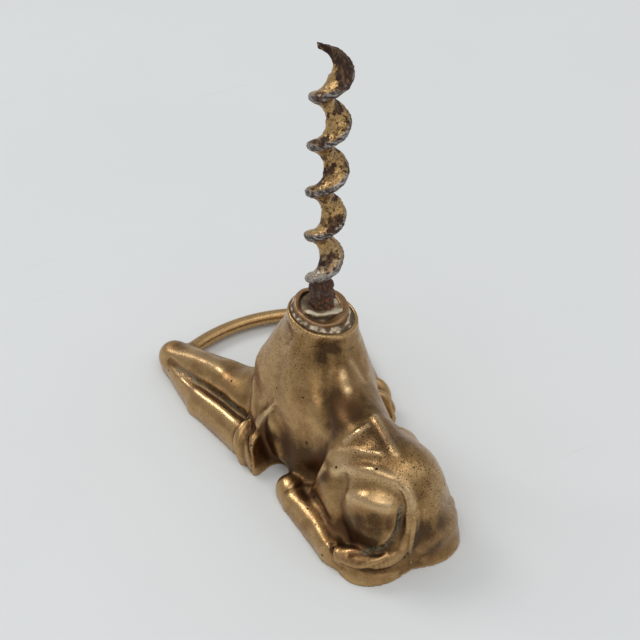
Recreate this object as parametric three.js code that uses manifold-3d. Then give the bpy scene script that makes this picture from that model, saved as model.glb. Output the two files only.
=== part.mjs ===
// A brass corkscrew in the form of a lying hoofed animal without a head.
// The animal is the handle, the worm stands in its neck, and a thin bar
// bent from knee to knee opens bottles.
//
// Millimetres, +Z up. +X is the animal's front and +Y its left side.
// The origin is where the worm's axis meets the plane that the base rests on.

import * as THREE from 'three';
import { mergeVertices } from 'three/addons/utils/BufferGeometryUtils.js';
import Module from 'manifold-3d';

const wasm = await Module();
wasm.setup();

// Fits
const clearance = 0.3;
const cutOverrun = 4;
const sliver = 0.02;

// Worm
const wormRadius = 4.75;
const wormPitch = 11.71;
const wormTurns = 5.17;
const wormStandoff = 6.8;
const wormStartAngle = THREE.MathUtils.degToRad(-38);
const wormLeanBack = THREE.MathUtils.degToRad(0.87);
const wormLeanRight = THREE.MathUtils.degToRad(1.71);
const rimThickness = 2;
const rimRounding = 0.45;
const coreRootRadius = 1.1;
const coreTipRadius = 0.9;
const shankRadius = 2.8;
const shankDepth = 13;
const shankRise = 1.2;
const shankShoulder = 3.4;
const tipThickness = 1.3;
const tipWidth = 2;
const rootRampTurns = 0.42;
const tipRampTurns = 0.3;

// The blade's section from the core outwards: shares of its radius and of half the pitch
const bladeShares = [
  [0.05, 0.67],
  [0.26, 0.58],
  [0.4, 0.42],
  [0.54, 0.33],
  [0.73, 0.255],
];

// Neck top: the rim and its groove
const neckTopX = -0.9;
const neckTopY = -1.3;
const neckTopHeight = 38.6;
const neckLeanBack = THREE.MathUtils.degToRad(4.8);
const neckLeanRight = THREE.MathUtils.degToRad(10);
const neckRimRadius = 8.15;
const neckLipWidth = 0.6;
const neckBandDepth = 3;
const neckBandRadius = 8.4;
const neckBandLap = 0.6;
const grooveDepth = 1.5;
const grooveFillSlope = 1.4;

// Collar, set less aslant than the rim, and the pool of solder in it
const collarX = -0.8;
const collarY = -0.8;
const collarLeanBack = THREE.MathUtils.degToRad(1.7);
const collarLeanRight = THREE.MathUtils.degToRad(6.3);
const collarRadius = 6.4;
const collarWall = 1.25;
const collarRise = 3.2;
const collarDepth = 3.4;
const collarEdge = 0.45;
const poolRise = 2.7;
const poolRadius = 4.2;
const poolEdge = 0.5;

// Trunk: lofted from the buttocks to the breast, with the neck rising from it
const trunkRear = -49;
const trunkLength = 66;
const backHeight = 27.6;
const trunkHalfWidth = 11.5;
const trunkMiddle = 0.5;
const trunkSquareness = 2.5;
const neckRootX = 1;
const neckRootHeight = 20;
const neckRootRadius = 12.5;
const neckWaistX = -0.5;
const neckWaistY = -0.9;
const neckWaistHeight = 34.5;
const neckWaistRadius = 8.2;
const neckSoftness = 0.6;
const trunkSoftness = 6;

// Shares of the trunk's length, back height and half width, from the tail forwards
const trunkShares = [
  [0, 0.1, 0.4],
  [0.03, 0.48, 0.7],
  [0.055, 0.68, 0.84],
  [0.091, 0.87, 0.91],
  [0.148, 0.965, 0.95],
  [0.226, 0.985, 0.96],
  [0.328, 0.99, 0.98],
  [0.445, 1, 1],
  [0.562, 1.08, 1.12],
  [0.664, 1.16, 1.18],
  [0.781, 1.1, 1.12],
  [0.883, 0.92, 0.98],
  [0.956, 0.66, 0.75],
  [1, 0.3, 0.42],
];

// Hip ridge, from the croup down to the top of the thigh
const hipRidgeX = -38.6;
const hipRidgeHeight = 25.7;
const hipEndX = -27.8;
const hipEndSide = 8;
const hipEndHeight = 21.2;
const hipRadius = 1.1;
const hipSoftness = 1.6;

// The far haunch lies fuller on the ground than the near one, which the leg leaves free.
const farHaunchX = -38;
const farHaunchY = -2.5;
const farHaunchHeight = 8.5;
const farHaunchReach = 11.5;
const farHaunchHalfWidth = 10.3;
const farHaunchRise = 18;
const farRumpX = -39.5;
const farRumpY = -5.6;
const farRumpHeight = 5.5;
const farRumpReach = 10;
const farRumpHalfWidth = 9.2;
const farRumpRise = 9.5;
const farSoftness = 3;

// Hollow of the flank, between belly and thigh
const flankX = -20;
const flankFootY = 15.4;
const flankFootHeight = 9;
const flankFootRadius = 5;
const flankTopY = 15;
const flankTopHeight = 25;
const flankTopRadius = 6;
const flankSoftness = 3;

// Belly behind the elbow, drawn in above the gap between the hooves
const bellyFootX = -8;
const bellyFootSide = 6.6;
const bellyFootHeight = 2;
const bellyFootRadius = 3.5;
const bellyTopX = -4.5;
const bellyTopSide = 8.4;
const bellyTopHeight = 12;
const bellyTopRadius = 4.4;
const hoofGapX = -9;
const hoofGapSide = 15;
const hoofGapRadius = 4.8;
const hoofGapSoftness = 1.5;

// Haunch and buttocks
const haunchX = -38;
const haunchSide = 4.6;
const haunchHeight = 12.4;
const haunchReach = 9;
const haunchHalfWidth = 7;
const haunchRise = 11.4;
const haunchSoftness = 2.2;
const buttockX = -42;
const buttockSide = 7;
const buttockRadius = 9;
const buttockRise = 5;

// Hind leg
const hockX = -37;
const hockSide = 13.6;
const hockHeight = 3;
const hockRadius = 3.9;
const hindFetlockX = -20;
const hindFetlockSide = 15.2;
const hindFetlockHeight = 2.2;
const hindFetlockRadius = 2.8;
const hindHoofX = -17.2;
const hindHoofSide = 14.8;
const hindHoofHeight = 2.6;
const hindHoofRadius = 3.1;
const hindHoofLength = 1.2;
const thighTopX = -27.4;
const thighTopSide = 7;
const thighTopHeight = 16.6;
const thighTopRadius = 3.9;
const thighRearX = -34;
const thighRearSide = 9.3;
const thighRearHeight = 4.6;
const thighRearRadius = 4.3;
const thighFrontX = -25;
const thighFrontSide = 8.2;
const thighFrontHeight = 4.4;
const thighFrontRadius = 4.1;
const thighSoftness = 4;
const calfX = -35;
const calfSide = 11;
const calfRadius = 4;
const calfEndX = -21;
const calfEndSide = 12;
const calfEndRadius = 3.2;
const creaseSoftness = 2;

// Foreleg
const foreMiddle = 1;
const kneeX = 37.3;
const kneeSide = 21.2;
const kneeHeight = 4;
const kneeRadius = 3.9;
const shoulderX = 10;
const shoulderSide = 10.3;
const shoulderHeight = 8.4;
const shoulderRadius = 6.4;
const elbowX = 1;
const elbowSide = 9.8;
const elbowHeight = 10.2;
const elbowRadius = 5.2;
const elbowCrestX = -2.6;
const elbowCrestSide = 10.6;
const elbowCrestHeight = 15.2;
const elbowCrestRadius = 2.2;
const elbowFootX = -1.8;
const elbowFootSide = 14.5;
const elbowFootHeight = 9.6;
const elbowFootRadius = 1.8;
const shinX = 20;
const shinSide = 21.1;
const shinHeight = 3;
const shinRadius = 3.6;
const pasternX = 3.4;
const pasternSide = 17;
const pasternHeight = 3.8;
const pasternRadius = 4.3;
const coronetX = 0.4;
const coronetSide = 15.8;
const coronetHeight = 4.4;
const coronetRadius = 4.5;
const coronetBandRadius = 1.5;
const foreHoofX = -5;
const foreHoofSide = 14.2;
const foreHoofHeight = 4.6;
const foreHoofRadius = 6.2;
const soleX = -8.7;
const soleSide = 19.3;
const soleHeight = 4.8;
const soleDishRadius = 9;
const soleDishDepth = 1.7;
const innerLegX = 3;
const innerLegSide = 13.5;
const innerLegHeight = 2.4;
const innerLegRadius = 4.2;
const innerKneeRadius = 2.4;
const armSoftness = 2.6;
const footSoftness = 1.2;

// Tail
const tailRadius = 1.75;
const tailRootX = -43;
const tailRootSide = 0.8;
const tailRootHeight = 20.5;
const tailBulge = 5.1;
const tailSweep = 13.7;
const tailDrop = 16.5;
const tailSoftness = 0.7;

// Shares of the tail's bulge, sweep and drop along its curve
const tailShares = [
  [0, 0, 0],
  [0.51, 0, 0.15],
  [0.92, 0.015, 0.3],
  [1, 0.05, 0.56],
  [0.94, 0.16, 0.79],
  [0.98, 0.35, 0.9],
  [0.76, 0.61, 0.94],
  [0.33, 0.83, 0.96],
  [-0.31, 1, 1],
];

// Opener bar
const barRadius = 1.8;
const barFloorGap = 0.6;
const barMiddleX = 5;
const barInset = 1;
const barSeat = 3;
const brazeWidth = 1.7;
const brazeLength = 3;
const brazeEnd = 1.5;
const brazeCell = 0.36;
const brazeTriangles = 320;

// Sculpting
const skirtHeight = 2;
const sculptCell = 0.9;
const sculptMargin = 3;
const bodyFront = 46;
const bodyRear = -56;
const bodyHalfWidth = 32;
const sculptTriangles = 8000;

const crossingShare = 0.08;
const holdShare = 0.002;
const foldShare = 0.3;
const passShare = 0.2;
const soleForeShare = 0.43;
const soleSideShare = 0.36;

const fullTurn = Math.PI * 2;
const turnSteps = 20;
const circleSteps = 40;
const coreSteps = 18;
const barSteps = 24;
const barSides = 6;
const tailSteps = 24;

// Fields: each gives the distance from a point to a surface, below zero inside.

function ball([cx, cy, cz], [rx, ry, rz]) {
  return (x, y, z) => {
    const near = Math.hypot((x - cx) / rx, (y - cy) / ry, (z - cz) / rz);
    const steep = Math.hypot((x - cx) / rx ** 2, (y - cy) / ry ** 2, (z - cz) / rz ** 2);
    return steep > 0 ? (near * (near - 1)) / steep : -Math.min(rx, ry, rz);
  };
}

function taper([ax, ay, az], startRadius, [bx, by, bz], endRadius) {
  const [dx, dy, dz] = [bx - ax, by - ay, bz - az];
  const lengthSquared = dx * dx + dy * dy + dz * dz;
  return (x, y, z) => {
    const along = ((x - ax) * dx + (y - ay) * dy + (z - az) * dz) / lengthSquared;
    const share = Math.min(1, Math.max(0, along));
    const radius = startRadius + (endRadius - startRadius) * share;
    return Math.hypot(x - ax - dx * share, y - ay - dy * share, z - az - dz * share) - radius;
  };
}

function hoop([cx, cy, cz], axis, ringRadius, tubeRadius) {
  const [ax, ay, az] = axis.toArray();
  return (x, y, z) => {
    const along = (x - cx) * ax + (y - cy) * ay + (z - cz) * az;
    const fromCentre = Math.hypot(x - cx, y - cy, z - cz);
    const out = Math.sqrt(Math.max(fromCentre * fromCentre - along * along, 0));
    return Math.hypot(out - ringRadius, along) - tubeRadius;
  };
}

function blend(softness, ...fields) {
  return (x, y, z) => {
    let distance = fields[0](x, y, z);
    for (let i = 1; i < fields.length; i += 1) {
      const other = fields[i](x, y, z);
      const overlap = Math.max(softness - Math.abs(distance - other), 0) / softness;
      distance = Math.min(distance, other) - (overlap * overlap * softness) / 4;
    }
    return distance;
  };
}

function carve(softness, field, tool) {
  return (x, y, z) => {
    const body = field(x, y, z);
    const cut = -tool(x, y, z);
    const overlap = Math.max(softness - Math.abs(body - cut), 0) / softness;
    return Math.max(body, cut) + (overlap * overlap * softness) / 4;
  };
}

// The casting's sides mirror each other and turn upright near the ground.
function bothSides(field, middle) {
  return (x, y, z) => field(x, Math.abs(y - middle), Math.hypot(z, skirtHeight));
}

// The animal

// A smooth run of values along rows of [place, value, value, ...]
function stationsAt(rows, place) {
  const last = rows.length - 2;
  const found = rows.findIndex((row) => row[0] > place) - 1;
  const i = found < 0 ? (place <= rows[0][0] ? 0 : last) : Math.min(found, last);
  const [from, to] = [rows[i], rows[i + 1]];
  const before = rows[Math.max(i - 1, 0)];
  const after = rows[Math.min(i + 2, last + 1)];
  const share = THREE.MathUtils.clamp((place - from[0]) / (to[0] - from[0]), 0, 1);
  const span = to[0] - from[0];
  return from.slice(1).map((value, k) => {
    const next = to[k + 1];
    const slopeFrom = ((next - before[k + 1]) / (to[0] - before[0])) * span;
    const slopeTo = ((after[k + 1] - value) / (after[0] - from[0])) * span;
    const [s2, s3] = [share ** 2, share ** 3];
    return value * (2 * s3 - 3 * s2 + 1) + slopeFrom * (s3 - 2 * s2 + share)
      + next * (3 * s2 - 2 * s3) + slopeTo * (s3 - s2);
  });
}

function trunkField() {
  const loft = (x, y, z) => {
    const along = (x - trunkRear) / trunkLength;
    const [topShare, widthShare] = stationsAt(trunkShares, along);
    const top = topShare * backHeight;
    const half = widthShare * trunkHalfWidth;
    const across = (Math.abs(y - trunkMiddle) / half) ** trunkSquareness;
    const up = (Math.max(z, 0) / top) ** trunkSquareness;
    const side = ((across + up) ** (1 / trunkSquareness) - 1) * Math.min(half, top);
    const beyond = Math.max(along - 1, -along, 0) * trunkLength;
    return beyond > 0 ? Math.hypot(Math.max(side, 0), beyond) : side;
  };
  const waist = [neckWaistX, neckWaistY, neckWaistHeight];
  const neck = blend(
    neckSoftness,
    taper([neckRootX, 0, neckRootHeight], neckRootRadius, waist, neckWaistRadius),
    taper(waist, neckWaistRadius, [neckTopX, neckTopY, neckTopHeight], neckRimRadius),
  );
  return blend(trunkSoftness, loft, neck);
}

function hindquarterField() {
  const haunch = ball(
    [haunchX, haunchSide, haunchHeight], [haunchReach, haunchHalfWidth, haunchRise],
  );
  const buttock = ball(
    [buttockX, buttockSide, 0], [buttockRadius, buttockRadius, buttockRise],
  );
  const hock = [hockX, hockSide, hockHeight];
  const fetlock = [hindFetlockX, hindFetlockSide, hindFetlockHeight];
  const hoof = [hindHoofX, hindHoofSide, hindHoofHeight];
  const hoofEnd = [hindHoofX + hindHoofLength, hindHoofSide, hindHoofHeight];
  const thighTop = [thighTopX, thighTopSide, thighTopHeight];
  const thighRear = [thighRearX, thighRearSide, thighRearHeight];
  const thighFront = [thighFrontX, thighFrontSide, thighFrontHeight];
  const calf = [calfX, calfSide, hockHeight];
  const calfEnd = [calfEndX, calfEndSide, hindFetlockHeight];
  const thigh = blend(
    thighSoftness,
    taper(thighTop, thighTopRadius, thighRear, thighRearRadius),
    taper(thighTop, thighTopRadius, thighFront, thighFrontRadius),
  );
  const leg = blend(
    footSoftness,
    taper(hock, hockRadius, fetlock, hindFetlockRadius),
    taper(calf, calfRadius, calfEnd, calfEndRadius),
    taper(fetlock, hindFetlockRadius, hoof, hindFetlockRadius),
    taper(hoof, hindHoofRadius, hoofEnd, hindHoofRadius),
  );
  const rump = blend(haunchSoftness, haunch, buttock);
  return blend(creaseSoftness, rump, thigh, leg);
}

function forelegField() {
  const knee = [kneeX, kneeSide, kneeHeight];
  const shoulder = [shoulderX, shoulderSide, shoulderHeight];
  const elbow = [elbowX, elbowSide, elbowHeight];
  const elbowCrest = [elbowCrestX, elbowCrestSide, elbowCrestHeight];
  const elbowFoot = [elbowFootX, elbowFootSide, elbowFootHeight];
  const shin = [shinX, shinSide, shinHeight];
  const pastern = [pasternX, pasternSide, pasternHeight];
  const coronet = [coronetX, coronetSide, coronetHeight];
  const hoof = [foreHoofX, foreHoofSide, foreHoofHeight];
  const upper = blend(
    armSoftness,
    taper(knee, kneeRadius, shoulder, shoulderRadius),
    taper(shoulder, shoulderRadius, elbow, elbowRadius),
    taper(elbowFoot, elbowFootRadius, elbowCrest, elbowCrestRadius),
  );
  const soleAxis = new THREE.Vector3(1, soleSideShare, -soleForeShare).normalize();
  const soleMiddle = [soleX - foreMiddle, foreHoofSide + foreMiddle, soleHeight];
  const lower = blend(
    footSoftness,
    taper(knee, kneeRadius, shin, shinRadius),
    taper(knee, innerKneeRadius, [innerLegX, innerLegSide, innerLegHeight], innerLegRadius),
    taper(shin, shinRadius, pastern, pasternRadius),
    taper(coronet, coronetRadius, hoof, foreHoofRadius),
    hoop(coronet, soleAxis, coronetRadius, coronetBandRadius),
  );
  const dish = ball(
    new THREE.Vector3(...soleMiddle).addScaledVector(soleAxis, soleDishDepth - soleDishRadius).toArray(),
    [soleDishRadius, soleDishRadius, soleDishRadius],
  );
  const behindSole = (x, y, z) => (
    (x - soleX) * soleAxis.x + (y - soleSide) * soleAxis.y + z * soleAxis.z
  );
  const leg = carve(footSoftness, blend(footSoftness, upper, lower), behindSole);
  return carve(footSoftness, leg, dish);
}

function tailField() {
  const curve = new THREE.CatmullRomCurve3(tailShares.map(([back, left, down]) => new THREE.Vector3(
    tailRootX - back * tailBulge,
    tailRootSide + left * tailSweep,
    tailRootHeight - down * tailDrop,
  )));
  const points = curve.getPoints(tailSteps);
  const runs = points.slice(1).map((end, i) => (
    taper(points[i].toArray(), tailRadius, end.toArray(), tailRadius)
  ));
  return (x, y, z) => Math.min(...runs.map((run) => run(x, y, z)));
}

function animalField() {
  const trunk = trunkField();
  const hipRoot = [hipRidgeX, 0, hipRidgeHeight];
  const hipEnd = [hipEndX, hipEndSide, hipEndHeight];
  const hip = taper(hipRoot, hipRadius, hipEnd, hipRadius);
  const farHaunch = blend(
    farSoftness,
    ball([farHaunchX, farHaunchY, farHaunchHeight], [farHaunchReach, farHaunchHalfWidth, farHaunchRise]),
    ball([farRumpX, farRumpY, farRumpHeight], [farRumpReach, farRumpHalfWidth, farRumpRise]),
  );
  const hips = blend(armSoftness, blend(hipSoftness, trunk, bothSides(hip, trunkMiddle)), farHaunch);
  const flank = taper(
    [flankX, flankFootY, flankFootHeight], flankFootRadius,
    [flankX, flankTopY, flankTopHeight], flankTopRadius,
  );
  const hoofGap = ball([hoofGapX, hoofGapSide, 0], [hoofGapRadius, hoofGapRadius, hoofGapRadius]);
  const belly = taper(
    [bellyFootX, bellyFootSide, bellyFootHeight], bellyFootRadius,
    [bellyTopX, bellyTopSide, bellyTopHeight], bellyTopRadius,
  );
  const drawnIn = carve(
    hoofGapSoftness, carve(flankSoftness, hips, flank), bothSides(hoofGap, foreMiddle),
  );
  const hind = bothSides(hindquarterField(), trunkMiddle);
  const fore = bothSides(forelegField(), foreMiddle);
  const quarters = blend(armSoftness, drawnIn, bothSides(belly, foreMiddle), fore, hind);
  const whole = blend(tailSoftness, quarters, tailField());
  const ceiling = neckTopHeight + sculptMargin;
  const floor = sculptCell - sculptMargin;
  return (x, y, z) => Math.max(whole(x, y, z), z - ceiling, floor - z);
}

// Polygons from a field. Each grid cube is split into six tetrahedra that share
// a diagonal, and the surface crosses each in one or two triangles, so the mesh closes.

function polygonize(field, low, high, cell) {
  const [nx, ny, nz] = low.map((value, axis) => Math.ceil((high[axis] - value) / cell) + 1);
  const steps = [1, nx, nx * ny];
  const corners = [0, 1].flatMap((i) => [0, 1].flatMap((j) => [0, 1].map((k) => (
    i * steps[0] + j * steps[1] + k * steps[2]
  ))));
  const place = (index) => [
    low[0] + (index % nx) * cell,
    low[1] + (Math.floor(index / nx) % ny) * cell,
    low[2] + Math.floor(index / steps[2]) * cell,
  ];
  const values = new Float64Array(nx * ny * nz);
  for (let index = 0; index < values.length; index += 1) {
    values[index] = field(...place(index));
  }
  const positions = [];
  const triangles = [];
  const known = new Map();
  const crossing = (inside, outside) => {
    const key = Math.min(inside, outside) * values.length + Math.max(inside, outside);
    if (!known.has(key)) {
      const exact = values[inside] / (values[inside] - values[outside]);
      const share = THREE.MathUtils.clamp(exact, crossingShare, 1 - crossingShare);
      const [a, b] = [place(inside), place(outside)];
      known.set(key, positions.length);
      positions.push(a.map((value, axis) => value + (b[axis] - value) * share));
    }
    return known.get(key);
  };
  const orders = [[0, 1, 2], [1, 2, 0], [2, 0, 1], [1, 0, 2], [0, 2, 1], [2, 1, 0]];
  const cut = (corners) => {
    const inside = corners.filter((corner) => values[corner] < 0);
    const outside = corners.filter((corner) => values[corner] >= 0);
    if (inside.length === 0 || outside.length === 0) {
      return;
    }
    let ring = inside.flatMap((a) => outside.map((b) => crossing(a, b)));
    if (ring.length === 4) {
      ring = [ring[0], ring[1], ring[3], ring[2]];
    }
    const [a, b, c] = ring.map((index) => new THREE.Vector3(...positions[index]));
    const outward = new THREE.Vector3(...place(outside[0]));
    outward.sub(new THREE.Vector3(...place(inside[0])));
    if (b.sub(a).cross(c.sub(a)).dot(outward) < 0) {
      ring.reverse();
    }
    for (let last = 2; last < ring.length; last += 1) {
      triangles.push([ring[0], ring[last - 1], ring[last]]);
    }
  };
  for (let k = 0; k < nz - 1; k += 1) {
    for (let j = 0; j < ny - 1; j += 1) {
      for (let i = 0; i < nx - 1; i += 1) {
        const corner = i + j * steps[1] + k * steps[2];
        const far = corner + steps[0] + steps[1] + steps[2];
        if (corners.some((offset) => values[corner + offset] < 0 !== values[corner] < 0)) {
          for (const [first, second] of orders) {
            const next = corner + steps[first];
            cut([corner, next, next + steps[second], far]);
          }
        }
      }
    }
  }
  return { positions, triangles };
}

// Fewer triangles. Each pass removes the edges whose loss moves the surface least,
// and keeps an edge where its loss would pinch the mesh or fold a triangle over.

function addPlane(quadric, { x, y, z }, offset, weight) {
  const squares = [x * x, x * y, x * z, y * y, y * z, z * z];
  const terms = [...squares, x * offset, y * offset, z * offset, offset * offset];
  terms.forEach((term, i) => {
    quadric[i] += term * weight;
  });
}

function error([xx, xy, xz, yy, yz, zz, x, y, z, one], p) {
  return xx * p.x * p.x + yy * p.y * p.y + zz * p.z * p.z
    + 2 * (xy * p.x * p.y + xz * p.x * p.z + yz * p.y * p.z)
    + 2 * (x * p.x + y * p.y + z * p.z) + one;
}

function bestPlace(quadric, middle) {
  const hold = holdShare * (quadric[0] + quadric[3] + quadric[5]);
  const [xx, xy, xz, yy, yz, zz, x, y, z] = quadric;
  const system = new THREE.Matrix3().set(xx + hold, xy, xz, xy, yy + hold, yz, xz, yz, zz + hold);
  const target = new THREE.Vector3(hold * middle.x - x, hold * middle.y - y, hold * middle.z - z);
  return target.applyMatrix3(system.invert());
}

function simplify({ positions, triangles }, wanted) {
  const points = positions.map((position) => new THREE.Vector3(...position));
  const faces = new Map(triangles.map((face, index) => [index, [...face]]));
  const around = points.map(() => new Set());
  const quadrics = points.map(() => new Array(10).fill(0));
  const normalOf = (face, moved, place) => {
    const [a, b, c] = face.map((vertex) => (moved.includes(vertex) ? place : points[vertex]));
    return new THREE.Vector3().subVectors(b, a).cross(new THREE.Vector3().subVectors(c, a));
  };
  faces.forEach((face, index) => {
    const normal = normalOf(face, [], null);
    const weight = normal.length();
    normal.normalize();
    face.forEach((vertex) => {
      around[vertex].add(index);
      addPlane(quadrics[vertex], normal, -normal.dot(points[face[0]]), weight);
    });
  });
  const neighbours = (vertex) => new Set([...around[vertex]].flatMap((index) => faces.get(index)));
  const candidate = (a, b) => {
    const sum = quadrics[a].map((term, i) => term + quadrics[b][i]);
    const middle = new THREE.Vector3().addVectors(points[a], points[b]).divideScalar(2);
    const place = bestPlace(sum, middle);
    return { a, b, sum, place, cost: error(sum, place) };
  };
  const allowed = ({ a, b, place }) => {
    const nearB = neighbours(b);
    const shared = [...neighbours(a)].filter((vertex) => vertex !== a && vertex !== b && nearB.has(vertex));
    if (shared.length !== 2) {
      return false;
    }
    return [...around[a], ...around[b]].every((index) => {
      const face = faces.get(index);
      if (face.includes(a) && face.includes(b)) {
        return true;
      }
      const before = normalOf(face, [], null);
      const after = normalOf(face, [a, b], place);
      return before.dot(after) > foldShare * before.length() * after.length();
    });
  };
  while (faces.size > wanted) {
    const edges = [];
    faces.forEach(([a, b, c]) => {
      [[a, b], [b, c], [c, a]].filter(([from, to]) => from < to).forEach(([from, to]) => {
        edges.push(candidate(from, to));
      });
    });
    edges.sort((first, second) => first.cost - second.cost);
    const settled = new Set();
    const before = faces.size;
    for (const edge of edges.slice(0, Math.ceil(edges.length * passShare))) {
      if (faces.size <= wanted) {
        break;
      }
      const { a, b } = edge;
      if (!settled.has(a) && !settled.has(b) && allowed(edge)) {
        [...neighbours(a), ...neighbours(b)].forEach((vertex) => settled.add(vertex));
        points[a].copy(edge.place);
        quadrics[a] = edge.sum;
        [...around[b]].forEach((index) => {
          const face = faces.get(index);
          if (face.includes(a)) {
            face.forEach((vertex) => around[vertex].delete(index));
            faces.delete(index);
          } else {
            face[face.indexOf(b)] = a;
            around[a].add(index);
          }
        });
      }
    }
    if (faces.size === before) {
      break;
    }
  }
  const geometry = new THREE.BufferGeometry();
  geometry.setAttribute('position', new THREE.Float32BufferAttribute(points.flatMap((p) => p.toArray()), 3));
  geometry.setIndex([...faces.values()].flat());
  return geometry;
}

function sculpt(field, low, high, cell, wanted) {
  return simplify(polygonize(field, low, high, cell), wanted);
}

// Solids, joined and cut as real pieces are.

function toSolid(geometry) {
  const bare = geometry.clone();
  bare.deleteAttribute('normal');
  bare.deleteAttribute('uv');
  const merged = mergeVertices(bare);
  return new wasm.Manifold(new wasm.Mesh({
    numProp: 3,
    vertProperties: Float32Array.from(merged.attributes.position.array),
    triVerts: Uint32Array.from(merged.index.array),
  }));
}

function toGeometry(solid) {
  const { vertProperties, triVerts } = solid.simplify(sliver).getMesh();
  const geometry = new THREE.BufferGeometry();
  geometry.setAttribute('position', new THREE.BufferAttribute(vertProperties, 3));
  geometry.setIndex(new THREE.BufferAttribute(triVerts, 1));
  geometry.computeVertexNormals();
  return geometry;
}

// A profile is a list of [radius, height] from the axis and back to it, or a closed ring.
function turned(profile, steps = circleSteps) {
  const points = profile.map(([radius, height]) => new THREE.Vector2(radius, height));
  const first = profile[0];
  if (first[0] > 0) {
    points.push(points[0].clone());
  }
  const geometry = new THREE.LatheGeometry(points, steps);
  return geometry.rotateX(Math.PI / 2);
}

function pin(radius, bottom, top) {
  return turned([[0, bottom], [radius, bottom], [radius, top], [0, top]]);
}

function leaning(back, right) {
  const axis = new THREE.Vector3(-Math.tan(back), -Math.tan(right), 1).normalize();
  return new THREE.Quaternion().setFromUnitVectors(new THREE.Vector3(0, 0, 1), axis);
}

const one = new THREE.Vector3(1, 1, 1);
const neckTop = new THREE.Vector3(neckTopX, neckTopY, neckTopHeight);
const neckFrame = new THREE.Matrix4().compose(neckTop, leaning(neckLeanBack, neckLeanRight), one);
const wormFrame = new THREE.Matrix4().compose(
  new THREE.Vector3(), leaning(wormLeanBack, wormLeanRight), one,
);
const collarFoot = new THREE.Vector3(collarX, collarY, neckTopHeight);
const collarFrame = new THREE.Matrix4().compose(
  collarFoot, leaning(collarLeanBack, collarLeanRight), one,
);
const collarSeat = -collarDepth;
const wormStartHeight = neckTopHeight + wormStandoff;
const collarBore = collarRadius - collarWall;
const lipRadius = neckRimRadius - neckLipWidth;
const shankBottom = neckTopHeight - shankDepth;

// The worm: a blade wound on a core that thins towards the tip

function bladeSection(turns) {
  const rooted = THREE.MathUtils.smoothstep(turns, 0, rootRampTurns);
  const pointed = THREE.MathUtils.smoothstep(turns, wormTurns - tipRampTurns, wormTurns);
  const outer = THREE.MathUtils.lerp(shankRadius - rimRounding, wormRadius, rooted);
  const rim = THREE.MathUtils.lerp(rimThickness, tipThickness, pointed) / 2;
  const upper = bladeShares.map(([radiusShare, riseShare]) => [
    THREE.MathUtils.lerp(radiusShare * outer, outer - tipWidth * (1 - radiusShare), pointed),
    THREE.MathUtils.lerp((riseShare * wormPitch) / 2, rim, pointed),
  ]);
  upper.push([outer - rimRounding, rim], [outer, rim - rimRounding]);
  const lower = upper.map(([radius, rise]) => [radius, -rise]);
  return [...lower, ...upper.reverse()];
}

function wormBlade() {
  const positions = [];
  const indices = [];
  const steps = Math.round(wormTurns * turnSteps);
  for (let step = 0; step <= steps; step += 1) {
    const turns = (wormTurns * step) / steps;
    const angle = wormStartAngle + turns * fullTurn;
    bladeSection(turns).forEach(([radius, rise]) => {
      const height = wormStartHeight + turns * wormPitch + rise;
      positions.push(radius * Math.cos(angle), radius * Math.sin(angle), height);
    });
  }
  const sides = bladeSection(0).length;
  for (let step = 0; step < steps; step += 1) {
    for (let side = 0; side < sides; side += 1) {
      const [a, b] = [step * sides + side, step * sides + ((side + 1) % sides)];
      indices.push(a, a + sides, b, b, a + sides, b + sides);
    }
  }
  for (let side = 1; side < sides - 1; side += 1) {
    const last = steps * sides;
    indices.push(0, side, side + 1, last, last + side + 1, last + side);
  }
  const geometry = new THREE.BufferGeometry();
  geometry.setAttribute('position', new THREE.Float32BufferAttribute(positions, 3));
  geometry.setIndex(indices);
  return geometry;
}

function wormCore() {
  const shoulder = wormStartHeight + shankRise;
  const taperStart = shoulder + shankShoulder;
  const end = wormStartHeight + (wormTurns - tipRampTurns) * wormPitch - rimThickness;
  return turned([
    [0, shankBottom], [shankRadius - collarEdge, shankBottom],
    [shankRadius, shankBottom + collarEdge], [shankRadius, shoulder],
    [coreRootRadius, taperStart], [coreTipRadius, end], [0, end + coreTipRadius],
  ], coreSteps);
}

function makeWorm() {
  const solid = toSolid(wormCore()).add(toSolid(wormBlade()));
  return toGeometry(solid).applyMatrix4(wormFrame);
}

// The opener bar: a level arc from one knee to the other

const barHeight = barRadius + barFloorGap;
const barReach = Math.hypot(kneeX - barMiddleX, kneeSide) - barInset;
const kneeAngle = Math.asin(kneeSide / barReach);
const barHalfAngle = kneeAngle - (kneeRadius - barSeat) / barReach;

class BarArc extends THREE.Curve {
  constructor(halfAngle) {
    super();
    this.halfAngle = halfAngle;
  }

  getPoint(share, target = new THREE.Vector3()) {
    const angle = this.halfAngle * (2 * share - 1);
    const [forward, aside] = [barReach * Math.cos(angle), barReach * Math.sin(angle)];
    return target.set(barMiddleX + forward, foreMiddle + aside, barHeight);
  }
}

function barSolid(radius, halfAngle) {
  const section = new THREE.Shape().absarc(0, 0, radius, 0, fullTurn);
  const geometry = new THREE.ExtrudeGeometry(section, {
    steps: barSteps,
    curveSegments: barSides,
    extrudePath: new BarArc(halfAngle),
  });
  return toSolid(geometry);
}

// Collar, solder and brazing

function makeCollar() {
  const bottom = collarSeat + clearance;
  const profile = [
    [collarBore, bottom], [collarRadius, bottom],
    [collarRadius, collarRise - collarEdge], [collarRadius - collarEdge, collarRise],
    [collarBore + collarEdge, collarRise], [collarBore, collarRise - collarEdge],
  ];
  return turned(profile).applyMatrix4(collarFrame);
}

function makeCollarSolder(collarHole) {
  const outer = lipRadius - clearance;
  const fill = turned([
    [0, clearance - grooveDepth], [outer, clearance - grooveDepth],
    [outer, -clearance], [0, grooveFillSlope * (outer - collarRadius) - clearance],
  ]).applyMatrix4(neckFrame);
  return toGeometry(toSolid(fill).subtract(collarHole));
}

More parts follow.
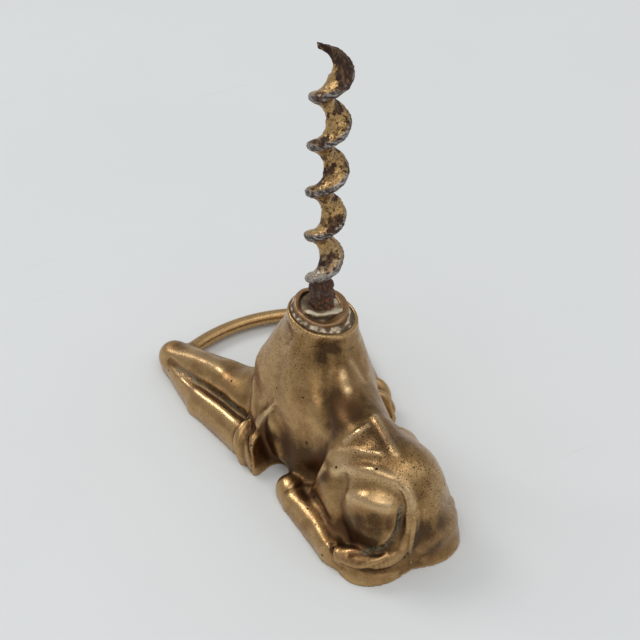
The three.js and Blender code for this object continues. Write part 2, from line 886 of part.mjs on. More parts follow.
function makeWormSolder(shankHole) {
  const bottom = collarSeat + clearance;
  const pool = turned([
    [0, bottom], [poolRadius, bottom], [poolRadius, poolRise - poolEdge],
    [poolRadius - poolEdge, poolRise], [0, poolRise],
  ]);
  return toGeometry(toSolid(pool.applyMatrix4(collarFrame)).subtract(shankHole));
}

// The body casting

function makeBody(collarHole, shankHole, barHole) {
  const low = [bodyRear, -bodyHalfWidth, -sculptMargin];
  const high = [bodyFront, bodyHalfWidth, neckTopHeight + sculptMargin * 2];
  const casting = toSolid(sculpt(animalField(), low, high, sculptCell, sculptTriangles));
  const size = 2 * (bodyFront - bodyRear);
  const under = new THREE.BoxGeometry(size, size, size).translate(0, 0, -size / 2);
  const over = pin(size / 2, neckBandLap - neckBandDepth, size / 2).applyMatrix4(neckFrame);
  const band = turned([
    [0, -neckBandDepth], [neckBandRadius, -neckBandDepth], [neckRimRadius, 0], [0, 0],
  ]).applyMatrix4(neckFrame);
  const groove = pin(lipRadius, -grooveDepth, cutOverrun).applyMatrix4(neckFrame);
  const figure = [under, over].reduce((solid, cut) => solid.subtract(toSolid(cut)), casting);
  return toGeometry([toSolid(groove), collarHole, shankHole, barHole].reduce(
    (solid, cut) => solid.subtract(cut),
    figure.add(toSolid(band)),
  ));
}

// The braze thins out along the bar, away from the knee.
function makeBraze(side) {
  const body = animalField();
  const angle = side * barHalfAngle;
  const seam = new BarArc(angle).getPoint(1).toArray();
  const reach = kneeRadius + brazeLength + brazeWidth;
  const lump = (x, y, z) => {
    const fromArc = Math.hypot(x - barMiddleX, y - foreMiddle) - barReach;
    const offBar = Math.hypot(fromArc, z - barHeight) - barRadius;
    const offBody = body(x, y, z);
    const outside = offBar + (offBody * brazeWidth) / brazeLength - brazeWidth;
    const pastKnee = side * (y - foreMiddle) - kneeSide;
    const sides = Math.max(offBody - brazeEnd, clearance - offBody, clearance - offBar);
    return Math.max(outside, sides, pastKnee, clearance - z);
  };
  const low = seam.map((value) => value - reach);
  const high = seam.map((value) => value + reach);
  return toGeometry(toSolid(sculpt(lump, low, high, brazeCell, brazeTriangles)));
}

// Assembly

function piece(name, geometry, color, roughness, metalness) {
  const mesh = new THREE.Mesh(geometry, new THREE.MeshStandardMaterial({ color, roughness, metalness }));
  mesh.name = name;
  return mesh;
}

const shankHole = toSolid(
  pin(shankRadius + clearance, shankBottom - clearance, wormStartHeight).applyMatrix4(wormFrame),
);
const collarHole = toSolid(
  pin(collarRadius + clearance, collarSeat, collarRise).applyMatrix4(collarFrame),
);
const barHole = barSolid(barRadius + clearance, barHalfAngle + clearance / barReach);

const corkscrew = new THREE.Group();
corkscrew.name = 'figural_corkscrew';
corkscrew.add(
  piece('body_casting', makeBody(collarHole, shankHole, barHole), 0x8c6c3e, 0.38, 1),
  piece('neck_collar', makeCollar(), 0x7a5a38, 0.5, 1),
  piece('collar_solder', makeCollarSolder(collarHole), 0xb0a890, 0.7, 0.4),
  piece('worm', makeWorm(), 0x9c7a44, 0.45, 1),
  piece('worm_solder', makeWormSolder(shankHole), 0xa09888, 0.6, 0.6),
  piece('opener_bar', toGeometry(barSolid(barRadius, barHalfAngle)), 0x9a7844, 0.35, 1),
  piece('bar_braze_left', makeBraze(1), 0x8a6a3c, 0.45, 1),
  piece('bar_braze_right', makeBraze(-1), 0x8a6a3c, 0.45, 1),
);

export default corkscrew;
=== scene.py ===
# The looks of a brass corkscrew in the form of a lying hoofed animal without a head.
# Sizes are millimetres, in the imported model's frame, until a mesh is made.

import math

import bpy
import numpy as np
from mathutils import Euler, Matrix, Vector


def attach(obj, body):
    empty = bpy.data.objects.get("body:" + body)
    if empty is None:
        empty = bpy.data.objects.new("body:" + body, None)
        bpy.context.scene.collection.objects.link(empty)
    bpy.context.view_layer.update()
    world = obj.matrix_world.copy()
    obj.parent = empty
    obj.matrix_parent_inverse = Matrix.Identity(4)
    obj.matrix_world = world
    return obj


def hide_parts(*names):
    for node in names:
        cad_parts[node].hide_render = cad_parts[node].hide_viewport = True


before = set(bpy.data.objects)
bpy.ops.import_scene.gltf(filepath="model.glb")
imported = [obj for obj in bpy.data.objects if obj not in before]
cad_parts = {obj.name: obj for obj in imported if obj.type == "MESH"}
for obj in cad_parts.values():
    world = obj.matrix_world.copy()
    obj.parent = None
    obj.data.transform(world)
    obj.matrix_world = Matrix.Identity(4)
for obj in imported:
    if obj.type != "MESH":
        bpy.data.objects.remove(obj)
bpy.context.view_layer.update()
scene = bpy.context.scene

MILLIMETRE = 0.001
CELL = 0.4
FINE_CELL = 0.22


def placed(name, data):
    """A new object for the data, in the scene."""
    item = bpy.data.objects.new(name, data)
    scene.collection.objects.link(item)
    return item


# Camera

CAMERA_PLACE = Vector((-213.68, 107.76, 240.83)) * MILLIMETRE
CAMERA_DOWN = math.radians(40.56)
CAMERA_HEADING = math.radians(-117)
CAMERA_FOCUS_SHARE = 1360 / 640  # the focal length in widths of the picture
CAMERA_SENSOR = 36
CAMERA_CLIP = (0.01, 10)

optics = bpy.data.cameras.new("camera")
optics.sensor_width = CAMERA_SENSOR
optics.lens = CAMERA_SENSOR * CAMERA_FOCUS_SHARE
optics.clip_start, optics.clip_end = CAMERA_CLIP
scene.camera = placed("camera", optics)
scene.camera.location = CAMERA_PLACE
scene.camera.rotation_euler = Euler((math.pi / 2 - CAMERA_DOWN, 0, CAMERA_HEADING))

# Fields: each gives the distance from points to a surface, below zero inside.

LEAST_SLOPE = 0.2
TINY = 1e-6


def length_of(*parts):
    return np.sqrt(sum(part * part for part in parts))


def smoothstep(value, low, high):
    share = np.clip((value - low) / (high - low), 0, 1)
    return share * share * (3 - 2 * share)


def ball(centre, radii):
    def field(x, y, z):
        parts = [(value - middle) / radius for value, middle, radius in zip((x, y, z), centre, radii)]
        near = length_of(*parts)
        steep = length_of(*[part / radius for part, radius in zip(parts, radii)])
        return near * (near - 1) / np.maximum(steep, TINY)

    return field


def taper(start, start_radius, end, end_radius):
    start, end = np.array(start, float), np.array(end, float)
    run = end - start
    squared = float(run @ run)

    def field(x, y, z):
        dx, dy, dz = x - start[0], y - start[1], z - start[2]
        share = np.clip((dx * run[0] + dy * run[1] + dz * run[2]) / squared, 0, 1)
        radius = start_radius + (end_radius - start_radius) * share
        return length_of(dx - run[0] * share, dy - run[1] * share, dz - run[2] * share) - radius

    return field


def along_axis(foot, axis):
    """Height along a leaning axis and distance from it."""

    def both(x, y, z):
        dx, dy, dz = x - foot[0], y - foot[1], z - foot[2]
        height = dx * axis[0] + dy * axis[1] + dz * axis[2]
        return height, np.sqrt(np.maximum(dx * dx + dy * dy + dz * dz - height * height, 0))

    return both


def hoop(centre, axis, ring_radius, tube_radius):
    both = along_axis(centre, axis)

    def field(x, y, z):
        along, out = both(x, y, z)
        return length_of(out - ring_radius, along) - tube_radius

    return field


def soft_min(a, b, softness):
    overlap = np.maximum(softness - np.abs(a - b), 0) / softness
    return np.minimum(a, b) - overlap * overlap * (softness / 4)


def soft_max(a, b, softness):
    return -soft_min(-a, -b, softness)


def blend(softness, *fields):
    def field(*at):
        distance = fields[0](*at)
        for other in fields[1:]:
            distance = soft_min(distance, other(*at), softness)
        return distance

    return field


def carve(softness, body, tool):
    return lambda *at: soft_max(body(*at), -tool(*at), softness)


SKIRT_HEIGHT = 2  # below this height the limbs' sides run down nearly upright


def both_sides(field, middle):
    return lambda x, y, z: field(x, np.abs(y - middle), np.hypot(z, SKIRT_HEIGHT))


FAR = 50.0  # stands for the distance to a path out of reach


def near_path(points, reach, radii=0):
    """Distance to a rounded path through points, worked out only within reach of them."""
    points = np.array(points, float)
    radii = np.broadcast_to(np.array(radii, float), len(points))
    runs = [taper(*run) for run in zip(points, radii, points[1:], radii[1:])]
    low, high = points.min(0) - reach, points.max(0) + reach

    def field(x, y, z):
        near = (x > low[0]) & (x < high[0]) & (y > low[1]) & (y < high[1])
        near &= (z > low[2]) & (z < high[2])
        distance = np.full(np.shape(x), FAR)
        if near.any():
            px, py, pz = x[near], y[near], z[near]
            distance[near] = np.min([run(px, py, pz) for run in runs], axis=0)
        return distance

    return field


STROKE_MARGIN = 2.5


def stroke(points, radii):
    return near_path(points, np.max(radii) + STROKE_MARGIN, radii)


def smooth_path(points, steps):
    """A Catmull-Rom run of points through the given ones."""
    points = np.array(points, float)
    ends = np.vstack([2 * points[0] - points[1], points, 2 * points[-1] - points[-2]])
    out = []
    for i in range(len(points) - 1):
        a, b, c, d = ends[i : i + 4]
        for step in range(steps):
            t = step / steps
            curve = (2 * a - 5 * b + 4 * c - d) * t**2 + (3 * b - a - 3 * c + d) * t**3
            out.append(0.5 * (2 * b + (c - a) * t + curve))
    out.append(points[-1])
    return np.array(out)


def slope_of(field, points, step=0.05):
    """The field's outward direction at each point, and how steep it is."""
    shifts = np.eye(3) * step
    parts = [field(*(points + shift).T) - field(*(points - shift).T) for shift in shifts]
    slope = np.stack(parts, 1) / (2 * step)
    steep = np.maximum(np.linalg.norm(slope, axis=1, keepdims=True), LEAST_SLOPE)
    return slope / steep, steep


def settled(field, points, rounds, reach=math.inf):
    """Points drawn onto the field's surface, none moved further than reach in a round."""
    for _ in range(rounds):
        out, steep = slope_of(field, points)
        points = points - out * np.clip(field(*points.T)[:, None] / steep, -reach, reach)
    return points


RIPPLE_SPREAD = (0.6, 1.5)
RIPPLE_HEIGHT = 1.6 / 1.5


def ripples(seed, wavelength, count=24):
    """A smooth, seeded unevenness between about -1 and 1."""
    rng = np.random.default_rng(seed)
    ways = rng.normal(size=(count, 3))
    spread = rng.uniform(*RIPPLE_SPREAD, (count, 1)) / np.linalg.norm(ways, axis=1, keepdims=True)
    ways *= (2 * math.pi / wavelength) * spread
    phases = rng.uniform(0, 2 * math.pi, count)

    def value(x, y, z):
        total = 0
        for way, phase in zip(ways, phases):
            total = total + np.sin(x * way[0] + y * way[1] + z * way[2] + phase)
        return total * RIPPLE_HEIGHT / count**0.5

    return value


# Surfaces from fields


def surface_net(field, xs, ys, zs):
    """Points and quads round the field's zero surface, with one point in each crossed cell."""
    shape = (len(xs), len(ys), len(zs))
    values = np.empty(shape)
    grid_x, grid_y = np.meshgrid(xs, ys, indexing="ij")
    for k, z in enumerate(zs):
        values[:, :, k] = field(grid_x, grid_y, np.full(grid_x.shape, z))
    inside = values < 0
    axes = (xs, ys, zs)
    strides = np.array([shape[1] * shape[2], shape[2], 1])
    cells, crossings, quads = [], [], []
    for axis in range(3):
        nodes = np.argwhere(np.diff(inside, axis=axis))
        before = values[tuple(nodes.T)]
        after = values[tuple((nodes + np.eye(3, dtype=int)[axis]).T)]
        share = before / (before - after)
        places = np.stack([axes[i][nodes[:, i]] for i in range(3)], 1)
        span = axes[axis][nodes[:, axis] + 1] - axes[axis][nodes[:, axis]]
        places[:, axis] += share * span
        one, two = strides[(axis + 1) % 3], strides[(axis + 2) % 3]
        number = nodes @ strides
        around = [number - one - two, number - two, number, number - one]
        cells += around
        crossings += [places] * 4
        faces = np.stack(around, 1)
        quads.append(np.where(after[:, None] < 0, faces[:, ::-1], faces))
    cells, crossings, quads = map(np.concatenate, (cells, crossings, quads))
    known, index = np.unique(cells, return_inverse=True)
    counts = np.bincount(index)
    points = np.stack([np.bincount(index, crossings[:, i]) / counts for i in range(3)], 1)
    return points, np.searchsorted(known, quads)


def spaced(low, high, cell, fine=None, fine_cell=None):
    """Grid places from low to high, closer together between the fine limits."""
    if fine is None:
        return np.linspace(low, high, int(math.ceil((high - low) / cell)) + 1)
    start, end = fine
    parts = (spaced(low, start, cell)[:-1], spaced(start, end, fine_cell)[:-1], spaced(end, high, cell))
    return np.concatenate(parts)


def paint(piece, name, values):
    """A named value on each of the piece's points, for its material."""
    attribute = piece.data.attributes.new(name, "FLOAT", "POINT")
    attribute.data.foreach_set("value", np.clip(values, 0, 1).astype(np.float32))


def hollowness(field, points, reaches):
    """How far the surface is shut in by what stands round it, from 0 to 1."""
    out = slope_of(field, points)[0]
    shut = [1 - field(*(points + out * reach).T) / reach for reach in reaches]
    return np.mean(np.clip(shut, 0, 1), axis=0)


# The animal's sizes


def leaning(x_degrees, y_degrees):
    """The direction of an upright that leans so many degrees towards -X and -Y."""
    axis = np.array([-math.tan(math.radians(x_degrees)), -math.tan(math.radians(y_degrees)), 1])
    return axis / np.linalg.norm(axis)


NECK_TOP = np.array([-0.9, -1.3, 38.6])
NECK_RIM_RADIUS = 8.15
NECK_AXIS = leaning(4.8, 10)
NECK_LIP_WIDTH = 0.6
GROOVE_DEPTH = 1.5
COLLAR_FOOT = np.array([-0.8, -0.8, 38.6])
COLLAR_AXIS = leaning(1.7, 6.3)
COLLAR_RADIUS = 6.4
COLLAR_WALL = 1.25
COLLAR_RISE = 3.2
POOL_RISE = 2.7
TRUNK_REAR = -49
TRUNK_LENGTH = 66
BACK_HEIGHT = 27.6
TRUNK_HALF_WIDTH = 11.5
TRUNK_MIDDLE = 0.5
TRUNK_SQUARENESS = 2.5
# Rows of place along the trunk, height and half width, as shares of the sizes above
TRUNK_SHARES = np.array([
    [0, 0.1, 0.4], [0.03, 0.48, 0.7], [0.055, 0.68, 0.84], [0.091, 0.87, 0.91],
    [0.148, 0.965, 0.95], [0.226, 0.985, 0.96], [0.328, 0.99, 0.98], [0.445, 1, 1],
    [0.562, 1.08, 1.12], [0.664, 1.16, 1.18], [0.781, 1.1, 1.12], [0.883, 0.92, 0.98],
    [0.956, 0.66, 0.75], [1, 0.3, 0.42],
])
NECK_FOOT = ((1, 0, 20), 12.5)
NECK_WAIST = ((-0.5, -0.9, 34.5), 8.2)
NECK_RIM_EDGE = 0.5
GROOVE_EDGE = 0.3
REAR_TRIM = 0.2
REAR_TRIM_SPAN = (47, 50)
FORE_MIDDLE = 1
KNEE = (37.3, 21.2, 4)
KNEE_RADIUS = 3.9
BAR_RADIUS = 1.8
BAR_HEIGHT = 2.4
BAR_MIDDLE_X = 5
BAR_INSET = 1
BAR_REACH = math.hypot(KNEE[0] - BAR_MIDDLE_X, KNEE[1]) - BAR_INSET
BAR_SEAT = 3

# How softly neighbouring forms run together or are cut from each other
SOFT = {
    "trunk": 6, "neck": 0.6, "rump": 2.2, "thigh": 4, "hindquarter": 2, "arm": 2.6, "leg": 1.2,
    "sole": 1.2, "hips": 1.6, "far_haunch": 3, "haunches": 2.6, "flank": 3, "heel": 1.5, "tail": 1.1,
}


def station_tables(rows, count=400):
    """Smooth values along the rows, as tables of place and value."""
    places = np.linspace(rows[0, 0], rows[-1, 0], count)
    ends = np.vstack([rows[:1], rows, rows[-1:]])
    slopes = (ends[2:, 1:] - ends[:-2, 1:]) / (ends[2:, :1] - ends[:-2, :1])
    at = np.clip(np.searchsorted(rows[:, 0], places, side="right") - 1, 0, len(rows) - 2)
    span = (rows[at + 1, 0] - rows[at, 0])[:, None]
    t = ((places - rows[at, 0]) / span[:, 0])[:, None]
    values = (
        rows[at, 1:] * (2 * t**3 - 3 * t**2 + 1)
        + slopes[at] * span * (t**3 - 2 * t**2 + t)
        + rows[at + 1, 1:] * (3 * t**2 - 2 * t**3)
        + slopes[at + 1] * span * (t**3 - t**2)
    )
    return places, values


def trunk_field():
    places, values = station_tables(TRUNK_SHARES)
    power = TRUNK_SQUARENESS

    def loft(x, y, z):
        along = (x - TRUNK_REAR) / TRUNK_LENGTH
        top = np.interp(along, places, values[:, 0]) * BACK_HEIGHT
        half = np.interp(along, places, values[:, 1]) * TRUNK_HALF_WIDTH
        across = (np.abs(y - TRUNK_MIDDLE) / half) ** power
        up = (np.maximum(z, 0) / top) ** power
        side = ((across + up) ** (1 / power) - 1) * np.minimum(half, top)
        beyond = np.maximum(np.maximum(along - 1, -along), 0) * TRUNK_LENGTH
        return np.where(beyond > 0, np.hypot(np.maximum(side, 0), beyond), side)

    lower, upper = taper(*NECK_FOOT, *NECK_WAIST), taper(*NECK_WAIST, NECK_TOP, NECK_RIM_RADIUS)
    return blend(SOFT["trunk"], loft, blend(SOFT["neck"], lower, upper))


# Balls of the hind leg, each a place and a radius, or three radii for the rump and ham
RUMP = ((-38, 4.6, 12.4), (9, 7, 11.4))
HAM = ((-42, 7, 0), (9, 9, 5))
STIFLE = ((-27.4, 7, 16.6), 3.9)
THIGH_REAR = ((-34, 9.3, 4.6), 4.3)
THIGH_FRONT = ((-25, 8.2, 4.4), 4.1)
HOCK = ((-37, 13.6, 3), 3.9)
HOCK_INNER = ((-35, 11, 3), 4)
CANNON_INNER = ((-21, 12, 2.2), 3.2)
FETLOCK = ((-20, 15.2, 2.2), 2.8)
PASTERN = ((-17.2, 14.8, 2.6), 2.8)
HIND_HOOF = (PASTERN[0], 3.1)
HIND_TOE = ((-16, 14.8, 2.6), 3.1)


def hindquarter_field():
    rump = blend(SOFT["rump"], ball(*RUMP), ball(*HAM))
    thigh = blend(SOFT["thigh"], taper(*STIFLE, *THIGH_REAR), taper(*STIFLE, *THIGH_FRONT))
    leg = blend(
        SOFT["leg"], taper(*HOCK, *FETLOCK), taper(*HOCK_INNER, *CANNON_INNER),
        taper(*FETLOCK, *PASTERN), taper(*HIND_HOOF, *HIND_TOE),
    )
    return blend(SOFT["hindquarter"], rump, thigh, leg)


# Balls of the foreleg, and the hoof's coronet, sole and hollow
SHOULDER = ((10, 10.3, 8.4), 6.4)
BREAST = ((1, 9.8, 10.2), 5.2)
ELBOW_FOOT = ((-1.8, 14.5, 9.6), 1.8)
ELBOW_TOP = ((-2.6, 10.6, 15.2), 2.2)
SHIN = ((20, 21.1, 3), 3.6)
ANKLE = ((3.4, 17, 3.8), 4.3)
KNEE_INNER = (KNEE, 2.4)
ANKLE_INNER = ((3, 13.5, 2.4), 4.2)
CORONET = ((0.4, 15.8, 4.4), 4.5)
CORONET_ROLL = 1.5
FORE_TOE = ((-5, 14.2, 4.6), 6.2)
SOLE_AXIS = np.array([1, 0.36, -0.43])
SOLE_AXIS /= np.linalg.norm(SOLE_AXIS)
SOLE_PLACE = (-8.7, 19.3, 0)
DISH_MOUTH = (-9.7, 15.2, 4.8)
DISH_RADIUS = 9
DISH_DEPTH = 1.7


def foreleg_field():
    upper = blend(
        SOFT["arm"], taper(KNEE, KNEE_RADIUS, *SHOULDER),
        taper(*SHOULDER, *BREAST), taper(*ELBOW_FOOT, *ELBOW_TOP),
    )
    lower = blend(
        SOFT["leg"], taper(KNEE, KNEE_RADIUS, *SHIN), taper(*KNEE_INNER, *ANKLE_INNER),
        taper(*SHIN, *ANKLE), taper(*CORONET, *FORE_TOE),
        hoop(CORONET[0], SOLE_AXIS, CORONET[1], CORONET_ROLL),
    )
    dish = ball(DISH_MOUTH + SOLE_AXIS * (DISH_DEPTH - DISH_RADIUS), [DISH_RADIUS] * 3)

    def behind_sole(x, y, z):
        return sum((value - at) * way for value, at, way in zip((x, y, z), SOLE_PLACE, SOLE_AXIS))

    limb = blend(SOFT["leg"], upper, lower)
    return carve(SOFT["sole"], carve(SOFT["sole"], limb, behind_sole), dish)


TAIL_PATH = [
    (-43, 0.8, 20.5), (-45.5, 0.8, 18.03), (-47.49, 1.01, 15.55), (-47.85, 1.49, 11.26),
    (-47.59, 2.99, 7.47), (-47.6, 5.5, 5.75), (-46.4, 8.8, 5.3), (-44.2, 11.7, 5.1),
    (-41.4, 14.1, 4.3),
]
TAIL_RADII = [2.2, 2.1, 1.9, 1.85, 1.9, 2.1, 2.5, 2.7, 2.3]
TAIL_STEPS = 4


def tail_field():
    path = smooth_path(TAIL_PATH, TAIL_STEPS)
    steps = np.linspace(0, len(TAIL_RADII) - 1, len(path))
    return stroke(path, np.interp(steps, range(len(TAIL_RADII)), TAIL_RADII))


HIP_RIDGE = [(-38.6, 0, 25.7), (-27.8, 8, 21.2)]
HIP_RIDGE_RADIUS = 1.1
BELLY_FOOT = ((-8, 6.6, 2), 3.5)
BELLY_TOP = ((-4.5, 8.4, 12), 4.4)
FAR_HAUNCH = ((-38, -2.5, 8.5), (11.5, 10.3, 18))
FAR_HAM = ((-39.5, -5.6, 5.5), (10, 9.2, 9.5))
FLANK_FOOT = ((-20, 15.4, 9), 5)
FLANK_TOP = ((-20, 15, 25), 6)
HEEL_RECESS = ((-9, 15, 0), (4.8, 4.8, 4.8))


def plain_animal():
    """The figure's main forms, before its creases and its pockets."""
    hip = both_sides(stroke(HIP_RIDGE, HIP_RIDGE_RADIUS), TRUNK_MIDDLE)
    belly = both_sides(taper(*BELLY_FOOT, *BELLY_TOP), FORE_MIDDLE)
    far_haunch = blend(SOFT["far_haunch"], ball(*FAR_HAUNCH), ball(*FAR_HAM))
    hips = blend(SOFT["haunches"], blend(SOFT["hips"], trunk_field(), hip), far_haunch)
    hips = carve(SOFT["flank"], hips, taper(*FLANK_FOOT, *FLANK_TOP))
    hips = carve(SOFT["heel"], hips, both_sides(ball(*HEEL_RECESS), FORE_MIDDLE))
    quarters = blend(
        SOFT["haunches"], hips, belly,
        both_sides(foreleg_field(), FORE_MIDDLE),
        both_sides(hindquarter_field(), TRUNK_MIDDLE),
    )
    return blend(SOFT["tail"], quarters, tail_field())


# Soft ridges and hollows of the casting: width, height above the plain form (below zero
# for a hollow) and the places along each. Those of the forelegs are on both sides.

HIND_MARKS = {
    "dome_crease": (3, -0.6, [
        (-31.5, 10.6, 18.6), (-33.6, 11.5, 15.5), (-35.6, 12.3, 10.7), (-36.9, 13.4, 6.9),
    ]),
    "dome_foot": (2.8, -0.45, [(-37.5, 13.5, 8.5), (-41.5, 12, 8.5), (-44.5, 8.5, 9.5)]),
    "dome_crest": (1.7, 0.7, [
        (-37.9, 11.8, 19), (-41.7, 10.4, 20.8), (-44.5, 8.1, 20.8), (-45.7, 5.8, 20.2),
    ]),
    "tuft_fill": (1.4, 0.55, [(-38.6, 15.8, 5.1), (-40.7, 15.6, 5.6), (-42.3, 15.8, 4.8)]),
    "tuft_ridge": (0.7, 0.35, [
        (-47.8, 7.2, 7.2), (-47.5, 8.8, 6.4), (-45.8, 11.7, 5.2), (-44, 14.2, 4.8),
    ]),
    "scratch": (0.35, -0.3, [(-39.3, 12.2, 9.4), (-39.6, 14, 5.6)]),
    "hip_arc": (1.2, 0.75, [
        (-30.4, 10.4, 19.1), (-32.5, 9.5, 21.4), (-35.7, 7.8, 23.3), (-39.1, 5.9, 24.6),
        (-41.7, 3.7, 24.4), (-43.6, 1.8, 23.4), (-45.8, 0.7, 21.2), (-47, 0.8, 19.6),
    ]),
    "croup_low": (0.8, 0.17, [(-28.5, 8.9, 23), (-31, 6.8, 24.6), (-34.1, 5, 26), (-36.9, 3.1, 27.5)]),
    "dome_dish": (2.4, -0.7, [
        (-34.7, 10.4, 19.4), (-37.9, 9.6, 21.1), (-40.2, 8.5, 22.2), (-42, 7, 22.5),
        (-44.1, 3.7, 21.7),
    ]),
    "spine": (0.8, 0.22, [
        (-26.2, -1.3, 27.3), (-29.5, -1, 27.2), (-34.2, -0.4, 27.3), (-38.6, 0.1, 27.6),
    ]),
    "croup_front": (0.7, 0.2, [(-28.1, 7, 24.9), (-28.4, 4.7, 26.7), (-28.1, 1.7, 27.5)]),
    "loin": (3.2, -0.25, [(-23.6, 9, 20), (-23.4, 5.4, 26.5), (-23.4, 1, 28.3)]),
    "thigh_front": (0.9, 0.5, [(-27.6, 12, 18.6), (-26.6, 12.4, 16), (-22, 11.9, 6.4)]),
    "recess": (2.2, -1.7, [(-24.2, 11, 17.5), (-21.5, 11.5, 12.5), (-19.2, 10.6, 7)]),
    "tail_band": (0.5, 0.35, [(-49, 0.8, 16.8), (-49.9, 1.5, 11.4), (-49.3, 1.3, 3.2)]),
    "tail_crease": (0.8, -0.75, [
        (-44.9, 2.6, 21.3), (-46.1, 2.2, 19.4), (-46.7, 2.7, 17), (-47, 3.8, 13.7), (-47.1, 5.7, 10.4),
        (-46.3, 8.1, 7.9), (-45.3, 11.3, 7.2), (-44.1, 13.9, 6.6),
    ]),
    "tail_outer": (0.6, -0.6, [
        (-47.6, 10.8, 4), (-44.6, 14.4, 3.6), (-41.5, 16.4, 3.8), (-38.5, 15.4, 5.6),
    ]),
    "tail_groove": (0.45, -0.15, [
        (-44.7, 2.3, 21.9), (-46.8, 2.2, 18.5), (-48.3, 3.1, 14.3), (-47.9, 5, 9.9), (-46.7, 8.8, 7.1),
        (-43.6, 12.9, 5.5),
    ]),
    "hoof_band": (0.45, -0.5, [
        (-18.9, 17.7, 4.3), (-19.2, 15.5, 5.1), (-18.2, 12.6, 4.9), (-17.8, 11.4, 5.9),
    ]),
    "leg_valley": (1.5, -0.6, [(-21.5, 13.4, 6), (-27, 13.4, 7), (-33, 14, 6.8), (-37, 15, 6.3)]),
    "neck_fold": (1, -0.4, [(-0.7, 7.3, 37), (-2.2, 7.6, 36), (-1.7, 8.5, 34)]),
    "neck_ridge": (2.2, 0.55, [(-8.4, -1, 35), (-11.6, -0.3, 31.5), (-16.4, 0.6, 28.4)]),
    "neck_hollow": (2, -0.7, [
        (-9.4, 2.6, 35.5), (-11.5, 4.4, 31.5), (-15.5, 6.4, 27), (-19.5, 7.4, 23),
    ]),
    "neck_knob": (1.5, 0.35, [(-10.6, 1.4, 33.6), (-12.4, 2, 31.4)]),
    "breast_plane": (5, -0.7, [(1, 8.8, 33), (0, 11, 26), (-2, 12.5, 20)]),
    "far_flank": (2.8, -0.9, [
        (-27, -7, 22.5), (-24.2, -9.5, 17), (-23.5, -10.5, 10.5), (-25, -11.5, 6),
    ]),
    "far_stifle": (2.4, 0.45, [(-31.5, -10, 18), (-29.5, -12, 12.5), (-30.5, -13, 7.5)]),
    "far_ham": (2.6, -0.6, [(-46, -7, 19), (-45, -10.5, 13), (-41, -13, 8.5), (-35, -14, 7)]),
    "far_hock": (1.4, -0.5, [(-39, -15, 5.2), (-31, -14.5, 5.4), (-23, -13, 4.6)]),
    "side_plane": (3.2, 0.5, [(-5.4, 8, 31.5), (-8, 10, 25), (-11, 11.5, 18)]),
}
FORE_MARKS = {
    "arm_groove": (1.1, -0.95, [
        (33.5, 24.6, 5.9), (24.4, 23, 6.7), (18.8, 20.6, 7.3), (11, 18.6, 8.3), (5.6, 17.3, 8.7),
    ]),
    "arm_ridge": (1.8, 0.4, [
        (35.5, 24.6, 7), (29.8, 20.8, 9.3), (22.9, 18.1, 11.1), (18.9, 17.1, 11.9),
    ]),
    "arm_valley": (3, -0.9, [(17.1, 13, 13), (11.1, 15.1, 14.1), (7.2, 16.1, 12.9)]),
    "chest_ridge": (1.6, 0.5, [(8.4, 10.1, 24.1), (8.6, 12, 17), (4.6, 14.9, 14.7), (1.5, 16, 11.9)]),
    "shin_ridge": (1.3, 0.3, [(26.6, 24.5, 5.9), (18.7, 22.9, 6.4), (12.2, 20.9, 7), (5.4, 19.6, 7.5)]),
    "hoof_crease_1": (0.55, -0.5, [
        (2.5, 17.4, 9.8), (2.6, 20.3, 7.3), (1.5, 21.7, 5.1), (-0.7, 22.2, 4.3), (-1.2, 21.7, 1),
    ]),
    "hoof_crease_2": (0.5, -0.45, [
        (-1.7, 17.2, 10.3), (-1.6, 19.3, 8.2), (-4, 20.2, 7.4), (-5.7, 20.3, 4.9), (-6, 20, 0.8),
    ]),
    "elbow_crest": (0.8, 0.5, [
        (-4.7, 12.8, 19.3), (-2.7, 14.1, 15.5), (-2.2, 15.5, 13), (-2.3, 16.9, 11.4),
    ]),
    "facet_fill": (2.4, 0.9, [(-5.4, 13.6, 13), (-5.6, 14.2, 9), (-8.3, 13.8, 6.3)]),
}
MARKS = {**HIND_MARKS, **FORE_MARKS}
FORM_WAVES = (ripples(21, 13), ripples(22, 5.5))
FORM_WAVE_HEIGHTS = (0.07, 0.025)
MARK_STEPS = 3
MARK_REACH = 2.6  # in widths


def marked(body):
    """The body with its soft ridges and hollows and the unevenness of a hand-finished casting."""
    paths = []
    for name, (width, height, places) in MARKS.items():
        path = settled(body, smooth_path(places, MARK_STEPS), rounds=6)
        paths.append((near_path(path, width * MARK_REACH), width, height, name in FORE_MARKS))

    def field(x, y, z):
        distance = body(x, y, z)
        for wave, height in zip(FORM_WAVES, FORM_WAVE_HEIGHTS):
            distance = distance + height * wave(x, y, z)
        folded = np.abs(y - FORE_MIDDLE) + FORE_MIDDLE
        for line, width, height, mirrored in paths:
            away = line(x, folded if mirrored else y, z) / width
            distance = distance - height * np.exp(-away * away)
        return distance

    return field


neck_places = along_axis(NECK_TOP, NECK_AXIS)
collar_places = along_axis(COLLAR_FOOT, COLLAR_AXIS)


def animal_field():
    body = marked(plain_animal())

    def field(x, y, z):
        distance = body(x, y, z)
        height, out = neck_places(x, y, z)
        distance = soft_max(distance, height, NECK_RIM_EDGE)
        pocket = np.maximum(out - (NECK_RIM_RADIUS - NECK_LIP_WIDTH), -GROOVE_DEPTH - height)
        distance = soft_max(distance, -pocket, GROOVE_EDGE)
        return np.maximum(distance + REAR_TRIM * smoothstep(-x, *REAR_TRIM_SPAN), -z)

    return field


animal = animal_field()

BAR_HALF_ANGLE = math.asin(KNEE[1] / BAR_REACH) - (KNEE_RADIUS - BAR_SEAT) / BAR_REACH


def bar_distance(x, y, z):
    around = np.hypot(x - BAR_MIDDLE_X, y - FORE_MIDDLE)
    return np.hypot(around - BAR_REACH, z - BAR_HEIGHT) - BAR_RADIUS


